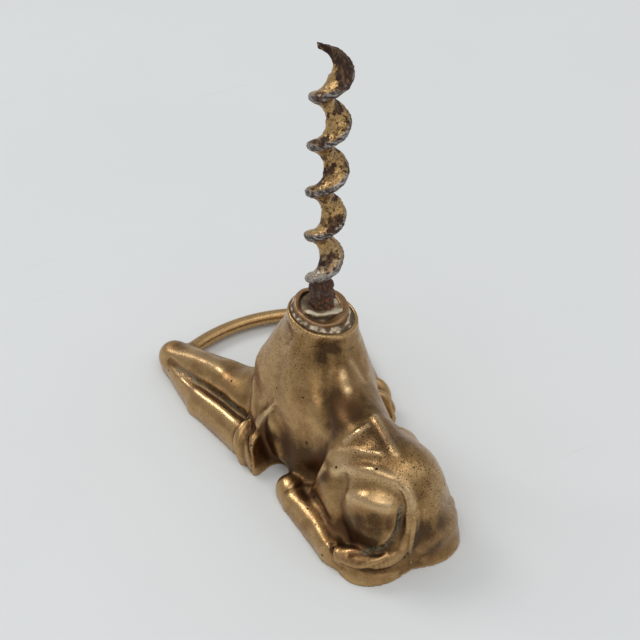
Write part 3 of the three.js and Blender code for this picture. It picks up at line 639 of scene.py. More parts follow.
def bar_field(x, y, z):
    angle = np.abs(np.arctan2(y - FORE_MIDDLE, x - BAR_MIDDLE_X))
    return np.maximum(bar_distance(x, y, z), (angle - BAR_HALF_ANGLE) * BAR_REACH)


BRAZE_SOFTNESS = 3.2
BRAZE_SKIN = 0.15
BRAZE_FOOT = 0.05


def braze_field(side):
    """The fillet between bar and knee, and a thin skin over both."""

    def field(x, y, z):
        body, bar = animal(x, y, z), bar_distance(x, y, z)
        joined = soft_min(body, bar, BRAZE_SOFTNESS)
        past_knee = side * (y - FORE_MIDDLE) - KNEE[1]
        under = np.maximum(-BRAZE_SKIN - body, -BRAZE_SKIN - bar)
        return np.maximum.reduce([joined, under, past_knee, BRAZE_FOOT - z])

    return field


# The worm, in its own leaning frame

WORM_RADIUS = 4.75
WORM_PITCH = 11.71
WORM_TURNS = 5.17
WORM_START = 45.4
WORM_START_ANGLE = math.radians(-38)
WORM_AXIS = leaning(0.87, 1.71)
WORM_ROOT_TURNS = 0.42
WORM_POINT_TURNS = 0.3
WORM_TIP_THICK = 0.85
WORM_TIP_WIDTH = 2
WORM_RIM_EDGE = 0.9
WORM_LEAST_RADIUS = 0.6
WORM_END_RADIUS = 1
WORM_CORE_SOFTNESS = 0.8
WORM_LOSS = 0.1
WORM_UNEVEN = (0.06, 0.24)  # everywhere, and added where it is rusted
WORM_PITS = (0.035, 0.07)
WORM_RUST_REACH = 3
SHANK_RADIUS = 2.8
SHANK_FOOT = 38
BLADE_ROOT_DEPTH = 0.4
BLADE_ROOT_RADIUS = SHANK_RADIUS - BLADE_ROOT_DEPTH
CORE_ROWS = np.array([[1.2, SHANK_RADIUS], [4.6, 1.1], [55.1, 0.9], [56.5, 0]])  # height, radius
# Rows of share of the radius and half thickness
BLADE_ROWS = np.array([
    [0, 4.2], [0.05, 3.92], [0.26, 3.4], [0.4, 2.46], [0.54, 1.93], [0.73, 1.49], [0.9, 1.0],
    [1.05, 0.9],
])


def turned_to(axis):
    """The rotation that takes the upright to an axis by the shortest way."""
    x, y, z = axis
    lean = np.array([[0, 0, x], [0, 0, y], [-x, -y, 0]])
    return np.eye(3) + lean + lean @ lean / (1 + z)


def worm_field():
    worm_turn = turned_to(WORM_AXIS)
    uneven, pitted = ripples(14, 3.2), ripples(15, 1.1)
    places, rises = station_tables(BLADE_ROWS)
    rises = rises[:, 0]
    steepness = np.gradient(rises, places * WORM_RADIUS)

    def field(x, y, z):
        px, py, pz = (x * way[0] + y * way[1] + z * way[2] for way in worm_turn.T)
        out = np.hypot(px, py)
        share = (np.arctan2(py, px) - WORM_START_ANGLE) / (2 * math.pi)
        offset = (pz - WORM_START) / WORM_PITCH - share
        whole = np.clip(np.round(offset), np.ceil(-share), np.floor(WORM_TURNS - share))
        rise = (offset - whole) * WORM_PITCH
        turns = whole + share
        rooted = smoothstep(turns, 0, WORM_ROOT_TURNS)
        pointed = smoothstep(turns, WORM_TURNS - WORM_POINT_TURNS, WORM_TURNS)
        outer = BLADE_ROOT_RADIUS + (WORM_RADIUS - BLADE_ROOT_RADIUS) * rooted
        thick = np.interp(out / outer, places, rises)
        thick = thick + (WORM_TIP_THICK - thick) * pointed
        slant = np.interp(out / outer, places, steepness) * (1 - pointed)
        slope = WORM_PITCH / (2 * math.pi * np.maximum(out, WORM_LEAST_RADIUS))
        faces = (np.abs(rise) - thick) / np.sqrt(1 + slope * slope + slant * slant)
        ends = np.maximum(-turns, turns - WORM_TURNS) * 2 * math.pi * np.maximum(out, WORM_END_RADIUS)
        inner = (outer - WORM_TIP_WIDTH) * pointed - out
        blade = soft_max(np.maximum(faces, np.maximum(ends, inner)), out - outer, WORM_RIM_EDGE)
        core_radius = np.interp(pz, WORM_START + CORE_ROWS[:, 0], CORE_ROWS[:, 1])
        core = np.maximum(out - core_radius, pz - WORM_START - CORE_ROWS[-1, 0])
        rusted = smoothstep(-pz, -WORM_START - WORM_RUST_REACH, -WORM_START)
        eaten = (WORM_UNEVEN[0] + WORM_UNEVEN[1] * rusted) * uneven(x, y, z)
        eaten = eaten + (WORM_PITS[0] + WORM_PITS[1] * rusted) * pitted(x, y, z)
        steel = soft_min(blade, core, WORM_CORE_SOFTNESS) + eaten + WORM_LOSS
        return np.maximum(steel, SHANK_FOOT - pz)

    return field


# Collar and solder

collar_uneven = ripples(11, 4.5)
solder_uneven = ripples(12, 2.3)
pool_uneven = ripples(13, 3)


def heading(degrees):
    return math.cos(math.radians(degrees)), math.sin(math.radians(degrees))


# Swellings and losses round the collar: side, amount and sharpness
COLLAR_THICKER = (heading(235), 1.1, 0.9)
COLLAR_WORN = (heading(165), 1.15, 0.75)
COLLAR_HUMP = (heading(60), 0.35, 1.2)
POOL_GAP = (heading(165), 1, 1.9)
CENTRE_GUARD = 0.01
COLLAR_LOSS = 0.4
COLLAR_UNEVEN = (0.14, 0.05)  # top, wall
COLLAR_EDGE = 0.5
COLLAR_SINK = 2
POOL_RADIUS = 5.25
POOL_DROP = 0.1
POOL_GAP_WIDTH = 1.4
POOL_SLUMP = (0.45, 3.6, 1.5)  # depth, radius where it starts, width
POOL_UNEVEN = (0.09, 0.1, 0.2)  # top, rim, underlayer
POOL_UNDERLAYER = 1.05
POOL_EDGE = 0.4
FILL_CLEARANCE = (0.1, 0.05)  # off the collar, off the neck's lip
FILL_RISE = 0.1
FILL_CLIMB = (1.15, 1.3)  # height, width
FILL_UNEVEN = 0.17
FILL_SINK = 0.1
FILL_EDGE = 0.2


def towards(x, y, side, amount, sharpness):
    """The amount on the side of the collar that faces a direction, falling to 0 away from it."""
    dx, dy = x - COLLAR_FOOT[0], y - COLLAR_FOOT[1]
    facing = (dx * side[0] + dy * side[1]) / np.maximum(np.hypot(dx, dy), CENTRE_GUARD)
    return amount * np.clip((facing - 1) * sharpness + 1, 0, 1)


def collar_field(x, y, z):
    height, out = collar_places(x, y, z)
    thickness = COLLAR_WALL + towards(x, y, *COLLAR_THICKER)
    middle = COLLAR_RADIUS - thickness / 2
    top = COLLAR_RISE - COLLAR_LOSS - towards(x, y, *COLLAR_WORN) + towards(x, y, *COLLAR_HUMP)
    top = top + COLLAR_UNEVEN[0] * collar_uneven(x, y, z)
    wall = np.abs(out - middle) - thickness / 2 + COLLAR_UNEVEN[1] * collar_uneven(z, y, x)
    return np.maximum(soft_max(wall, height - top, COLLAR_EDGE), -COLLAR_SINK - height)


def pool_field(x, y, z):
    height, out = collar_places(x, y, z)
    gap = towards(x, y, *POOL_GAP)
    depth, start, width = POOL_SLUMP
    slump = depth * np.clip((out - start) / width, 0, 1) * (1 - gap)
    top = POOL_RISE - POOL_DROP - slump + POOL_UNEVEN[0] * pool_uneven(x, y, z)
    rim = out - POOL_RADIUS + POOL_GAP_WIDTH * gap - POOL_UNEVEN[1] * pool_uneven(z, x, y)
    disc = soft_max(rim, height - top, POOL_EDGE)
    layer = height - POOL_UNDERLAYER - POOL_UNEVEN[2] * pool_uneven(y, z, x)
    under = np.maximum(out - POOL_RADIUS, layer)
    return np.maximum(np.minimum(disc, under), -COLLAR_SINK - height)


def fill_field(x, y, z):
    height, out = neck_places(x, y, z)
    collar = collar_places(x, y, z)[1] - COLLAR_RADIUS + FILL_CLEARANCE[0]
    lip = out - (NECK_RIM_RADIUS - NECK_LIP_WIDTH) - FILL_CLEARANCE[1]
    climb = FILL_CLIMB[0] * np.clip(1 - collar / FILL_CLIMB[1], 0, 1)
    top = height + FILL_RISE - climb - FILL_UNEVEN * solder_uneven(x, y, z)
    floor = -GROOVE_DEPTH - FILL_SINK - height
    return np.maximum.reduce([soft_max(lip, top, FILL_EDGE), -collar, floor])


def sculpt(name, field, low, high, cell, slot, node, fine=(None, None, None)):
    """The piece made from a field inside a box, and its points."""
    grids = [spaced(*ends, cell, part, FINE_CELL) for *ends, part in zip(low, high, fine)]
    points, faces = surface_net(field, *grids)
    points = settled(field, points, rounds=3, reach=cell / 2)
    points[:, 2] = np.maximum(points[:, 2], 0)
    mesh = bpy.data.meshes.new(name)
    mesh.from_pydata((points * MILLIMETRE).tolist(), [], faces.tolist())
    mesh.validate()
    mesh.shade_smooth()
    piece = placed(name, mesh)
    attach(piece, "root")
    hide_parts(node)
    return piece, points


NECK_FINE = ((-10.5, 9), (-11, 8.5), (35.5, 39.4))  # finer cells round the neck's rim
WORM_CELL, RING_CELL, FILL_CELL = FINE_CELL * 0.8, FINE_CELL * 0.6, FINE_CELL * 0.7
BAR_CELL, BRAZE_CELL = CELL * 0.8, CELL * 0.6
# Name, field, corners of the box it is made in, cell, slot and CAD node
PIECES = (
    ("body", animal, (-52, -27, -1), (46, 29, 41), CELL, "cast_brass", "body_casting", NECK_FINE),
    ("worm_blade", worm_field(), (-9, -9, 37), (6, 5, 108), WORM_CELL, "worm_steel", "worm"),
    ("collar_ring", collar_field, (-8.5, -8.5, 35.5), (7, 7, 43.5), RING_CELL, "collar_brass", "neck_collar"),
    ("solder_pool", pool_field, (-7, -7, 35.5), (5.5, 5.5, 43), RING_CELL, "solder", "worm_solder"),
    ("groove_solder", fill_field, (-10, -10.5, 34.5), (8.5, 8, 41.5), FILL_CELL, "solder", "collar_solder"),
    ("opener_ring", bar_field, (33, -23, -0.5), (46, 25, 6), BAR_CELL, "bar_brass", "opener_bar"),
    ("braze_left", braze_field(1), (30, 14, -0.5), (43, 24, 9), BRAZE_CELL, "braze", "bar_braze_left"),
    ("braze_right", braze_field(-1), (30, -22, -0.5), (43, -12, 9), BRAZE_CELL, "braze", "bar_braze_right"),
)
pieces, points_of = {}, {}
for row in PIECES:
    pieces[row[0]], points_of[row[0]] = sculpt(*row)

# Wear, dirt, painted shade and painted highlights, worked out on the points of each piece for its material


def bend_of(field, points, step):
    """How sharply the surface bends: above zero on a ridge, below zero in a hollow."""
    total = -6 * field(*points.T)
    for shift in np.eye(3) * step:
        total = total + field(*(points + shift).T) + field(*(points - shift).T)
    return total / step**2


def patches(points, spots):
    """The strongest of soft round spots of (place, radius, strength) at each point."""
    strongest = np.zeros(len(points))
    for place, radius, strength in spots:
        away = np.linalg.norm(points - np.array(place, float), axis=1) / radius
        strongest = np.maximum(strongest, strength * np.exp(-away * away))
    return strongest


PAINT_REACH = 3  # in widths


def along_path(points, places, width, strength):
    line = near_path(smooth_path(places, MARK_STEPS), width * PAINT_REACH)
    away = line(*points.T) / width
    return strength * np.exp(-away * away)


BEND_STEP = 0.7
CREST_BENDS = (0.18, 0.7)  # where it starts, and how much more is full
GROOVE_BENDS = (0.08, 0.5)
WIDE_REACHES, NECK_REACHES = (1, 2.5, 6), (0.5, 1.2, 2.5)
# Spots are (place, radius, strength), and paths (places, width, strength)
# Darkened spots: partly real patina, partly painted shade and painted dark reflection on the dome's lower
# half, the recess, the belly, the neck and the knee.
SHADE_AND_PATINA_SPOTS = (
    ((-44.5, 10, 9), 5.5, 1), ((-39.6, 12, 7), 4.5, 0.9), ((-44.9, 8.5, 14), 4, 1),
    ((-45.3, 8.7, 16.2), 3.4, 1), ((-43, 10.8, 14.8), 3.6, 1), ((-46.5, 5.5, 15.5), 3.2, 0.9),
    ((-40.5, 12, 12), 3.6, 0.9), ((-23, 11, 14), 4.5, 1), ((-27.5, 12.6, 17), 3, 0.9),
    ((-20, 10, 7), 4.5, 1), ((-2, 14, 7), 5.5, 0.9), ((-4.5, 14.6, 10), 5, 0.9),
    ((-12, 13, 10), 5, 0.9), ((-17, 11, 11), 5, 0.9), ((-10, 13.1, 13), 3.6, 0.7),
    ((-10.4, 0.4, 35.3), 2.2, 0.9), ((-9.6, 2.4, 33.5), 2.6, 0.4), ((-12.2, 0.6, 31.4), 2.4, 0.6),
    ((-48, -6, 12), 4.5, 0.8), ((-49.6, -1.5, 11), 5, 1), ((-50, -4, 6), 3.5, 0.7),
    ((-21.4, 4, 25.5), 4.5, 0.8), ((-17.2, 4, 27), 3.5, 0.6), ((17, 16, 12), 6, 0.5),
    ((-46, -1, 20), 3, 0.5), ((-31, 3.5, 26.8), 3.5, 0.42), ((-34, 1.5, 27.2), 3.5, 0.42),
    ((36, 21.5, 7.5), 5, 0.4), ((27, 19, 9.5), 4, 0.3),
)
RED_SPOTS = (
    ((-43, 10.5, 8), 5, 1), ((-44.5, 9.5, 13), 3.5, 0.5), ((-2, 14, 8), 4.5, 0.9),
    ((-22, 10.5, 11), 4, 0.6), ((-35, 15.5, 4), 6, 0.35), ((-7, 8, 22), 5, 0.5),
    ((25, 24, 3), 8, 0.35),
)
PITTED_SPOTS = (
    ((-33, 3, 27), 7, 1), ((-43, -4, 23), 7, 1), ((-46, -9, 14), 7, 0.8), ((-4, 8, 34), 8, 0.7),
    ((-8, -6, 33), 9, 0.4),
)
# Rubbed bright high places, which are also painted highlights: the hip arc, the dome crest and other ridges,
# two highlight lines on the neck and the thigh top.
WEAR_AND_HIGHLIGHT_MARKS = {
    "hip_arc": (1.3, 1), "croup_low": (0.8, 0.4), "spine": (0.7, 0.8), "croup_front": (0.8, 0.8),
    "dome_crest": (1.4, 0.8), "thigh_front": (0.7, 0.7), "arm_ridge": (0.9, 0.5),
    "shin_ridge": (1, 0.5), "elbow_crest": (0.7, 0.8),
}
WEAR_AND_HIGHLIGHT_PATHS = [(MARKS[name][2], *wear_and_highlight) for name, wear_and_highlight in WEAR_AND_HIGHLIGHT_MARKS.items()] + [
    ([(-11.8, -3.3, 30.8), (-12.9, -4.1, 28.6), (-14.7, -4.5, 27)], 0.9, 0.7),
    ([(-13.9, -0.2, 31), (-15.7, 0.3, 29.9), (-17.7, 0.8, 28.9)], 0.9, 0.7),
    ([(-30.2, 9.8, 21.5), (-31.5, 9.8, 21.6)], 1.8, 1),
]
VERDIGRIS_PATHS = (
    ([
        (-46.1, 2.9, 19), (-46.7, 4, 13.7), (-46.8, 5.9, 10.4), (-46.2, 8.3, 8.2), (-45, 11.3, 7.4),
    ], 0.65, 0.9),
    ([(30, 24.3, 6), (18.8, 20.6, 7.3), (5.6, 17.3, 8.7)], 0.9, 0.9),
    ([(-12, 15, 2), (-13.5, 12, 3), (-12, 10, 4), (-9, 10, 3)], 1.6, 0.9),
    ([(-43, 17.5, 1), (-38, 18, 1), (-30, 18.4, 1)], 0.8, 0.3),
)
WORM_RIM = (WORM_RADIUS - 0.75, WORM_RADIUS - 0.35)
WORM_LENGTH = WORM_PITCH * WORM_TURNS
WORM_TIP = (WORM_LENGTH - 7, WORM_LENGTH - 2)
WORM_FIRST_TURN = (-13, -5)
SHANK_RISE, SHANK_OUT = (-5, -1.5), (-3.6, -2.9)
SHANK_HOLE_FOOT = 36


def weather(name, field, reaches):
    """Writes the piece's hollows, crests, patina with painted shade, red, pitted, wear with painted
    highlights, and green places.
    """
    piece, points = pieces[name], points_of[name]
    bend = bend_of(field, points, BEND_STEP)
    paint(piece, "hollow", hollowness(field, points, reaches))
    paint(piece, "crest", (bend - CREST_BENDS[0]) / CREST_BENDS[1])
    paint(piece, "groove", (-bend - GROOVE_BENDS[0]) / GROOVE_BENDS[1])
    for kind, spots in (("shade_and_patina", SHADE_AND_PATINA_SPOTS), ("red", RED_SPOTS), ("pitted", PITTED_SPOTS)):
        paint(piece, kind, patches(points, spots))
    for kind, paths in (("wear_and_highlight", WEAR_AND_HIGHLIGHT_PATHS), ("green", VERDIGRIS_PATHS)):
        paint(piece, kind, np.max([along_path(points, *path) for path in paths], axis=0))


def shut_in(own):
    """A piece's field together with the casting, collar and shank that stand round it."""

    def field(x, y, z):
        shank = np.maximum(np.hypot(x, y) - SHANK_RADIUS, SHANK_HOLE_FOOT - z)
        others = np.minimum(animal(x, y, z), collar_field(x, y, z))
        return np.minimum(np.minimum(others, shank), own(x, y, z))

    return field


def weather_worm(piece, points):
    """Writes the worm's rim, shank, first turn and tip."""
    local = points @ turned_to(WORM_AXIS)
    out, rise = np.hypot(local[:, 0], local[:, 1]), local[:, 2] - WORM_START
    paint(piece, "rim", smoothstep(out, *WORM_RIM))
    paint(piece, "shank", smoothstep(-rise, *SHANK_RISE) * smoothstep(-out, *SHANK_OUT))
    paint(piece, "first", smoothstep(-rise, *WORM_FIRST_TURN))
    paint(piece, "tip", smoothstep(rise, *WORM_TIP))


for name in ("body", "braze_left", "braze_right"):
    weather(name, animal, WIDE_REACHES)
weather("opener_ring", lambda *at: np.minimum(bar_field(*at), animal(*at)), WIDE_REACHES)
weather("collar_ring", shut_in(collar_field), NECK_REACHES)
weather("solder_pool", shut_in(pool_field), NECK_REACHES)
weather("groove_solder", shut_in(fill_field), NECK_REACHES)
weather_worm(pieces["worm_blade"], points_of["worm_blade"])

# Materials


class Look:
    """A node-based finish, built from patterns in the object's own coordinates."""

    def __init__(self, name):
        self.material = bpy.data.materials.new(name)
        self.material.use_nodes = True
        self.tree = self.material.node_tree
        self.shader = self.tree.nodes["Principled BSDF"]
        self.place = self.tree.nodes.new("ShaderNodeTexCoord").outputs["Object"]

    def put(self, socket, value):
        if isinstance(value, bpy.types.NodeSocket):
            self.tree.links.new(value, socket)
        elif socket.type == "RGBA":
            socket.default_value = (*value, 1)
        else:
            socket.default_value = value

    def set(self, node=None, **values):
        """Sets or links the sockets of a node, or of the shader where none is given."""
        for name, value in values.items():
            self.put((node or self.shader).inputs[name.replace("_", " ")], value)

    def node(self, kind, **values):
        node = self.tree.nodes.new("ShaderNode" + kind)
        self.set(node, **values)
        return node

    def noise(self, size, detail, rough=0.55, place=None):
        """Noise about 0.5, of a size in millimetres."""
        values = {"Scale": 1 / (size * MILLIMETRE), "Detail": detail, "Roughness": rough}
        return self.node("TexNoise", Vector=place or self.place, **values).outputs["Fac"]

    def cells(self, size):
        node = self.node("TexVoronoi", Vector=self.place, Scale=1 / (size * MILLIMETRE))
        return node.outputs["Distance"]

    def stretched(self, *scale):
        return self.node("Mapping", Vector=self.place, Scale=scale).outputs["Vector"]

    def painted(self, name):
        node = self.node("Attribute")
        node.attribute_name = name
        return node.outputs["Fac"]

    def between(self, value, low, high, bottom=0, top=1):
        """Runs smoothly from bottom, where the value is low, to top, where it is high."""
        node = self.node("MapRange", Value=value, From_Min=low, From_Max=high, To_Min=bottom, To_Max=top)
        node.interpolation_type = "SMOOTHSTEP"
        return node.outputs["Result"]

    def math(self, operation, a, b, clamp=False):
        node = self.node("Math")
        node.operation = operation
        node.use_clamp = clamp
        self.put(node.inputs[0], a)
        self.put(node.inputs[1], b)
        return node.outputs[0]

    def times(self, a, b):
        return self.math("MULTIPLY", a, b)

    def plus(self, a, b, clamp=False):
        return self.math("ADD", a, b, clamp)

    def swing(self, pattern):
        return self.math("SUBTRACT", pattern, 0.5)

    def added(self, total, *parts, clamp=False):
        """The total and each pattern times its weight, kept from 0 to 1 if clamp is set."""
        for number, (pattern, weight) in enumerate(parts, 1):
            total = self.plus(total, self.times(pattern, weight), clamp and number == len(parts))
        return total

    def mix(self, share, a, b):
        node = self.node("Mix", Factor=share)
        node.data_type = "RGBA"
        self.put(node.inputs[6], a)
        self.put(node.inputs[7], b)
        return node.outputs[2]

    def stained(self, color, tint, pattern, cover):
        """The colour hidden by a tint where the pattern is 1, by as much as cover."""
        return self.mix(self.times(pattern, cover), color, tint)

    def bump(self, *parts):
        """Relief in millimetres, from patterns and their heights."""
        node = self.node("Bump", Distance=MILLIMETRE, Height=self.added(0, *parts))
        self.set(Normal=node.outputs["Normal"])


# The first colour below is both rubbed brass and painted highlight, laid on the worn places.
BRASS_POLISH_AND_HIGHLIGHT = (0.85, 0.62, 0.36)
BRASS_BRIGHT = (0.52, 0.33, 0.15)
COLLAR_COPPER = (0.4, 0.24, 0.13)
BRASS_WORN = (0.33, 0.195, 0.078)
BRASS_BROWN = (0.095, 0.055, 0.025)
BRASS_RED = (0.2, 0.075, 0.035)
BRASS_BLACK = (0.03, 0.02, 0.012)
VERDIGRIS = (0.21, 0.21, 0.14)
# Noise is (size in millimetres, detail, roughness), and limits are where a pattern starts
# and where it is full.
BRASS_CLOUDS, BRASS_MOTTLE, BRASS_GRAIN = (11, 3), (2.4, 4), (0.42, 3, 0.6)
WEAR_AND_HIGHLIGHT_PATCHES = (0.3, 0.6, 0.5, 1)
TARNISH_LIMITS, BROWN_LIMITS = (0, 0.5), (0.4, 1)
RED_NOISE, RED_LIMITS, RED_EVERYWHERE = (7, 4), (0.35, 0.7), 0.28
SPECKLE_NOISE, SPECKLE_LIMITS, SPECKLE_EVERYWHERE = (0.4, 2, 0.7), (0.54, 0.66), 0.35
PIT_NOISE, PIT_AREAS, PIT_SIZE, PIT_LIMITS = (4, 2), (0.5, 0.9), 0.85, (0.2, 0.1)
RARE_PIT_SIZE, RARE_PIT_LIMITS = 4.6, (0.085, 0.05)
GREEN_NOISE, GREEN_LIMITS = (0.7, 4, 0.65), (0.38, 0.58)


def brass_look(name, tarnish, roughness, bright=BRASS_BRIGHT):
    look = Look(name)
    broad, middle, fine = look.noise(*BRASS_CLOUDS), look.noise(*BRASS_MOTTLE), look.noise(*BRASS_GRAIN)
    # Rubbed places, which also carry painted highlights.
    wear_and_highlight = look.times(look.painted("wear_and_highlight"), look.between(middle, *WEAR_AND_HIGHLIGHT_PATCHES))
    pitted = look.painted("pitted")
    # This sum carries the patina, painted shade from the darkened spots, and lightening from wear and painted
    # highlights.
    patina_with_shade = look.added(
        tarnish,
        (look.painted("hollow"), 0.7), (look.painted("shade_and_patina"), 1.05), (look.painted("groove"), 0.35),
        (look.swing(broad), 1.1), (look.swing(middle), 0.7), (look.swing(fine), 0.55),
        (look.painted("crest"), -0.6), (wear_and_highlight, -0.6),
        clamp=True,
    )
    color = look.mix(look.between(patina_with_shade, *TARNISH_LIMITS), bright, BRASS_WORN)
    color = look.mix(look.between(patina_with_shade, *BROWN_LIMITS), color, BRASS_BROWN)
    red = look.plus(look.painted("red"), RED_EVERYWHERE)
    red = look.times(look.between(look.noise(*RED_NOISE), *RED_LIMITS), red)
    color = look.stained(color, BRASS_RED, red, cover=0.75)
    # Rubbed places and painted highlights lighten towards polished brass.
    color = look.stained(color, BRASS_POLISH_AND_HIGHLIGHT, wear_and_highlight, cover=0.6)
    speckle = look.between(look.noise(*SPECKLE_NOISE), *SPECKLE_LIMITS)
    speckle = look.times(speckle, look.plus(pitted, SPECKLE_EVERYWHERE))
    color = look.stained(color, BRASS_BLACK, speckle, cover=0.8)
    where = look.between(look.added(look.noise(*PIT_NOISE), (pitted, 0.5)), *PIT_AREAS)
    pits = look.times(look.between(look.cells(PIT_SIZE), *PIT_LIMITS), where)
    rare = look.between(look.cells(RARE_PIT_SIZE), *RARE_PIT_LIMITS)
    pits = look.math("MAXIMUM", pits, rare)
    color = look.mix(pits, color, BRASS_BLACK)
    green = look.between(look.noise(*GREEN_NOISE), *GREEN_LIMITS)
    green = look.times(look.painted("green"), green)
    color = look.stained(color, VERDIGRIS, green, cover=0.85)
    rough = look.added(
        roughness, (patina_with_shade, 0.16), (look.swing(fine), 0.2), (wear_and_highlight, -0.06), (green, 0.35), clamp=True
    )
    look.bump((fine, 0.035), (middle, 0.05), (pits, -0.16), (speckle, -0.03), (green, 0.08))
    look.set(Base_Color=color, Roughness=rough, Metallic=look.added(1, (green, -0.8)))
    return look.material


SOLDER_PALE = (0.66, 0.56, 0.4)
SOLDER_GREY = (0.27, 0.18, 0.1)
DIRT = (0.1, 0.065, 0.035)
SOLDER_CLOUDS, SOLDER_GRAIN = (1.6, 4, 0.6), (0.3, 3)
SOLDER_GREYED, SOLDER_DIRTY = (0, 0.5), (0.45, 0.9)
SOLDER_METAL = (0.3, 0.05)  # clean, dirty
SOLDER_ROUGHNESS = 0.42


def solder_look(name, dirtiness):
    look = Look(name)
    broad, fine = look.noise(*SOLDER_CLOUDS), look.noise(*SOLDER_GRAIN)
    dirt = look.added(
        dirtiness,
        (look.painted("hollow"), 0.9), (look.swing(broad), 2.2),
        (look.swing(fine), 0.8), (look.painted("crest"), -0.6),
        clamp=True,
    )
    color = look.mix(look.between(dirt, *SOLDER_GREYED), SOLDER_PALE, SOLDER_GREY)
    color = look.mix(look.between(dirt, *SOLDER_DIRTY), color, DIRT)
    look.bump((fine, 0.06), (broad, 0.12))
    look.set(
        Base_Color=color,
        Roughness=look.added(SOLDER_ROUGHNESS, (dirt, 0.3)),
        Metallic=look.between(dirt, 0, 1, *SOLDER_METAL),
    )
    return look.material


WORM_GOLD = (0.54, 0.35, 0.15)
WORM_STEEL = (0.42, 0.4, 0.375)
RUST_DARK = (0.034, 0.015, 0.009)
WORM_TARNISH = (0.22, 0.11, 0.04)
RUST_ORANGE = (0.24, 0.08, 0.035)
RUST_RED = (0.19, 0.07, 0.03)
WORM_CLOUDS, WORM_MOTTLE, WORM_GRAIN = (3.4, 4, 0.6), (1.1, 4, 0.6), (0.3, 3)
STREAK_NOISE, STREAK_STRETCH = (0.9, 3, 0.6), (1, 1, 0.25)
RING_NOISE, RING_STRETCH, RING_LIMITS = (0.8, 3, 0.6), (0.4, 0.4, 1.8), (0.42, 0.56)
FLECK_NOISE, FLECK_LIMITS = (0.5, 3, 0.7), (0.54, 0.64, 0, 0.8)
STEEL_LIMITS = (0.38, 0.5)
WORM_TARNISH_LIMITS = (0.35, 0.75, 0, 0.45)
RUST_LIMITS, RUST_HALO = (0.05, 0.4), (-0.15, 0.3, 0, 0.55)
RUST_STREAKS, ORANGE_LIMITS = (0.3, 0.6, 0.6, 1), (0.5, 0.66)
WORM_ROUGHNESS = (0.3, 0.7, 0.3, 0.45)
WORM_METAL = (1, 0.1)  # bare, rusted


def worm_look():
    look = Look("worm_steel")
    broad, middle, fine = look.noise(*WORM_CLOUDS), look.noise(*WORM_MOTTLE), look.noise(*WORM_GRAIN)
    streak = look.noise(*STREAK_NOISE, place=look.stretched(*STREAK_STRETCH))
    ring = look.noise(*RING_NOISE, place=look.stretched(*RING_STRETCH))
    rim, shank, first = look.painted("rim"), look.painted("shank"), look.painted("first")
    steel = look.plus(rim, look.times(first, look.between(middle, *STEEL_LIMITS)), clamp=True)
    color = look.mix(steel, WORM_GOLD, WORM_STEEL)
    color = look.mix(look.between(fine, *WORM_TARNISH_LIMITS), color, WORM_TARNISH)
    lines = look.times(look.added(rim, (first, -0.6)), look.between(ring, *RING_LIMITS))
    color = look.stained(color, RUST_DARK, lines, cover=0.85)
    rust = look.added(
        0, (look.swing(broad), 5), (look.swing(middle), 2.4),
        (shank, 2.2), (look.painted("tip"), 0.9), (rim, -0.35),
    )
    flecks = look.between(look.noise(*FLECK_NOISE), *FLECK_LIMITS)
    spread = look.math("MAXIMUM", look.between(rust, *RUST_LIMITS), flecks)
    color = look.mix(look.between(rust, *RUST_HALO), color, RUST_RED)
    color = look.mix(look.times(spread, look.between(streak, *RUST_STREAKS)), color, RUST_DARK)
    glow = look.times(shank, look.between(streak, *ORANGE_LIMITS))
    color = look.stained(color, RUST_ORANGE, glow, cover=0.85)
    look.bump((fine, 0.05), (spread, 0.07), (streak, 0.1))
    look.set(
        Base_Color=color,
        Roughness=look.added(look.between(fine, *WORM_ROUGHNESS), (spread, 0.25)),
        Metallic=look.between(spread, 0, 1, *WORM_METAL),
        Specular_IOR_Level=0.25,
    )
    return look.material


braze = brass_look("braze", tarnish=0.3, roughness=0.34)
LOOKS = {
    "body": brass_look("cast_brass", tarnish=0.1, roughness=0.26),
    "opener_ring": brass_look("bar_brass", tarnish=0.05, roughness=0.28),
    "braze_left": braze,
    "braze_right": braze,
    "collar_ring": brass_look("collar_brass", tarnish=0.5, roughness=0.38, bright=COLLAR_COPPER),
    "solder_pool": solder_look("pool_solder", dirtiness=0.3),
    "groove_solder": solder_look("groove_solder", dirtiness=0.75),
    "worm_blade": worm_look(),
}
for name, material in LOOKS.items():
    pieces[name].data.materials.append(material)

# Floor and light

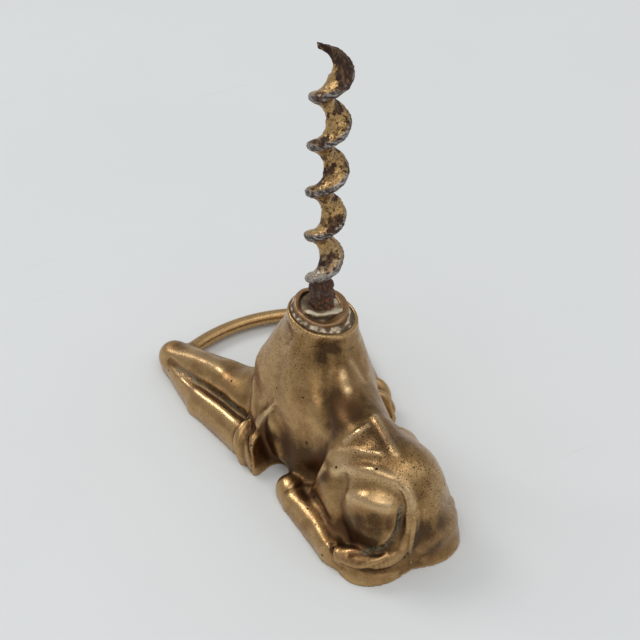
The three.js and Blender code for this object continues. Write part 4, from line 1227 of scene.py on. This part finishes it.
FLOOR_REACH = 3
FLOOR_COLOR = (0.79, 0.805, 0.8)
FLOOR_SHADE = (0.77, 0.785, 0.782)
FLOOR_SCRATCH = (0.7, 0.71, 0.71)
FLOOR_CLOUDS, FLOOR_CLOUD_LIMITS = (90, 3), (0.3, 0.7)
SCRATCH_NOISE, SCRATCH_STRETCH = (3, 2, 0.5), (1, 0.04, 1)
SCRATCH_LIMITS = (0.7, 0.76, 0, 0.25)
FLOOR_ROUGHNESS = (0.5, 0.65)
LAMP_TARGET = Vector((0, 0, 0.03))
# Azimuth from +X towards +Y and elevation, in degrees, distance, size and power
LAMPS = {
    "back": (25, 48, 2.8, (1.3, 1.1), 18),
    "top": (150, 70, 2, (1.8, 1.8), 7.5),
    "fill": (215, 50, 2, (2, 2), 5),
}
WORLD_COLOR = (0.85, 0.87, 0.88, 1)
WORLD_STRENGTH = 0.58


def floor_look():
    look = Look("floor")
    cloud = look.noise(*FLOOR_CLOUDS)
    scratch = look.noise(*SCRATCH_NOISE, place=look.stretched(*SCRATCH_STRETCH))
    color = look.mix(look.between(cloud, *FLOOR_CLOUD_LIMITS), FLOOR_COLOR, FLOOR_SHADE)
    color = look.mix(look.between(scratch, *SCRATCH_LIMITS), color, FLOOR_SCRATCH)
    look.set(Base_Color=color, Roughness=look.between(cloud, *FLOOR_CLOUD_LIMITS, *FLOOR_ROUGHNESS))
    return look.material


def make_lamp(name, azimuth, elevation, distance, size, power):
    data = bpy.data.lights.new(name, "AREA")
    data.shape = "ELLIPSE"
    data.size, data.size_y = size
    data.energy = power
    a, e = math.radians(azimuth), math.radians(elevation)
    way = Vector((math.cos(a) * math.cos(e), math.sin(a) * math.cos(e), math.sin(e)))
    lamp = placed(name, data)
    lamp.location = way * distance
    lamp.rotation_euler = (lamp.location - LAMP_TARGET).to_track_quat("Z", "Y").to_euler()


sheet = bpy.data.meshes.new("floor")
corners = [(x * FLOOR_REACH, y * FLOOR_REACH, 0) for x, y in ((-1, -1), (1, -1), (1, 1), (-1, 1))]
sheet.from_pydata(corners, [], [(0, 1, 2, 3)])
sheet.materials.append(floor_look())
placed("floor", sheet)

for name, lamp in LAMPS.items():
    make_lamp(name, *lamp)

world = bpy.data.worlds.new("world")
world.use_nodes = True
background = world.node_tree.nodes["Background"]
background.inputs["Color"].default_value = WORLD_COLOR
background.inputs["Strength"].default_value = WORLD_STRENGTH
scene.world = world
scene.view_settings.view_transform = "Standard"
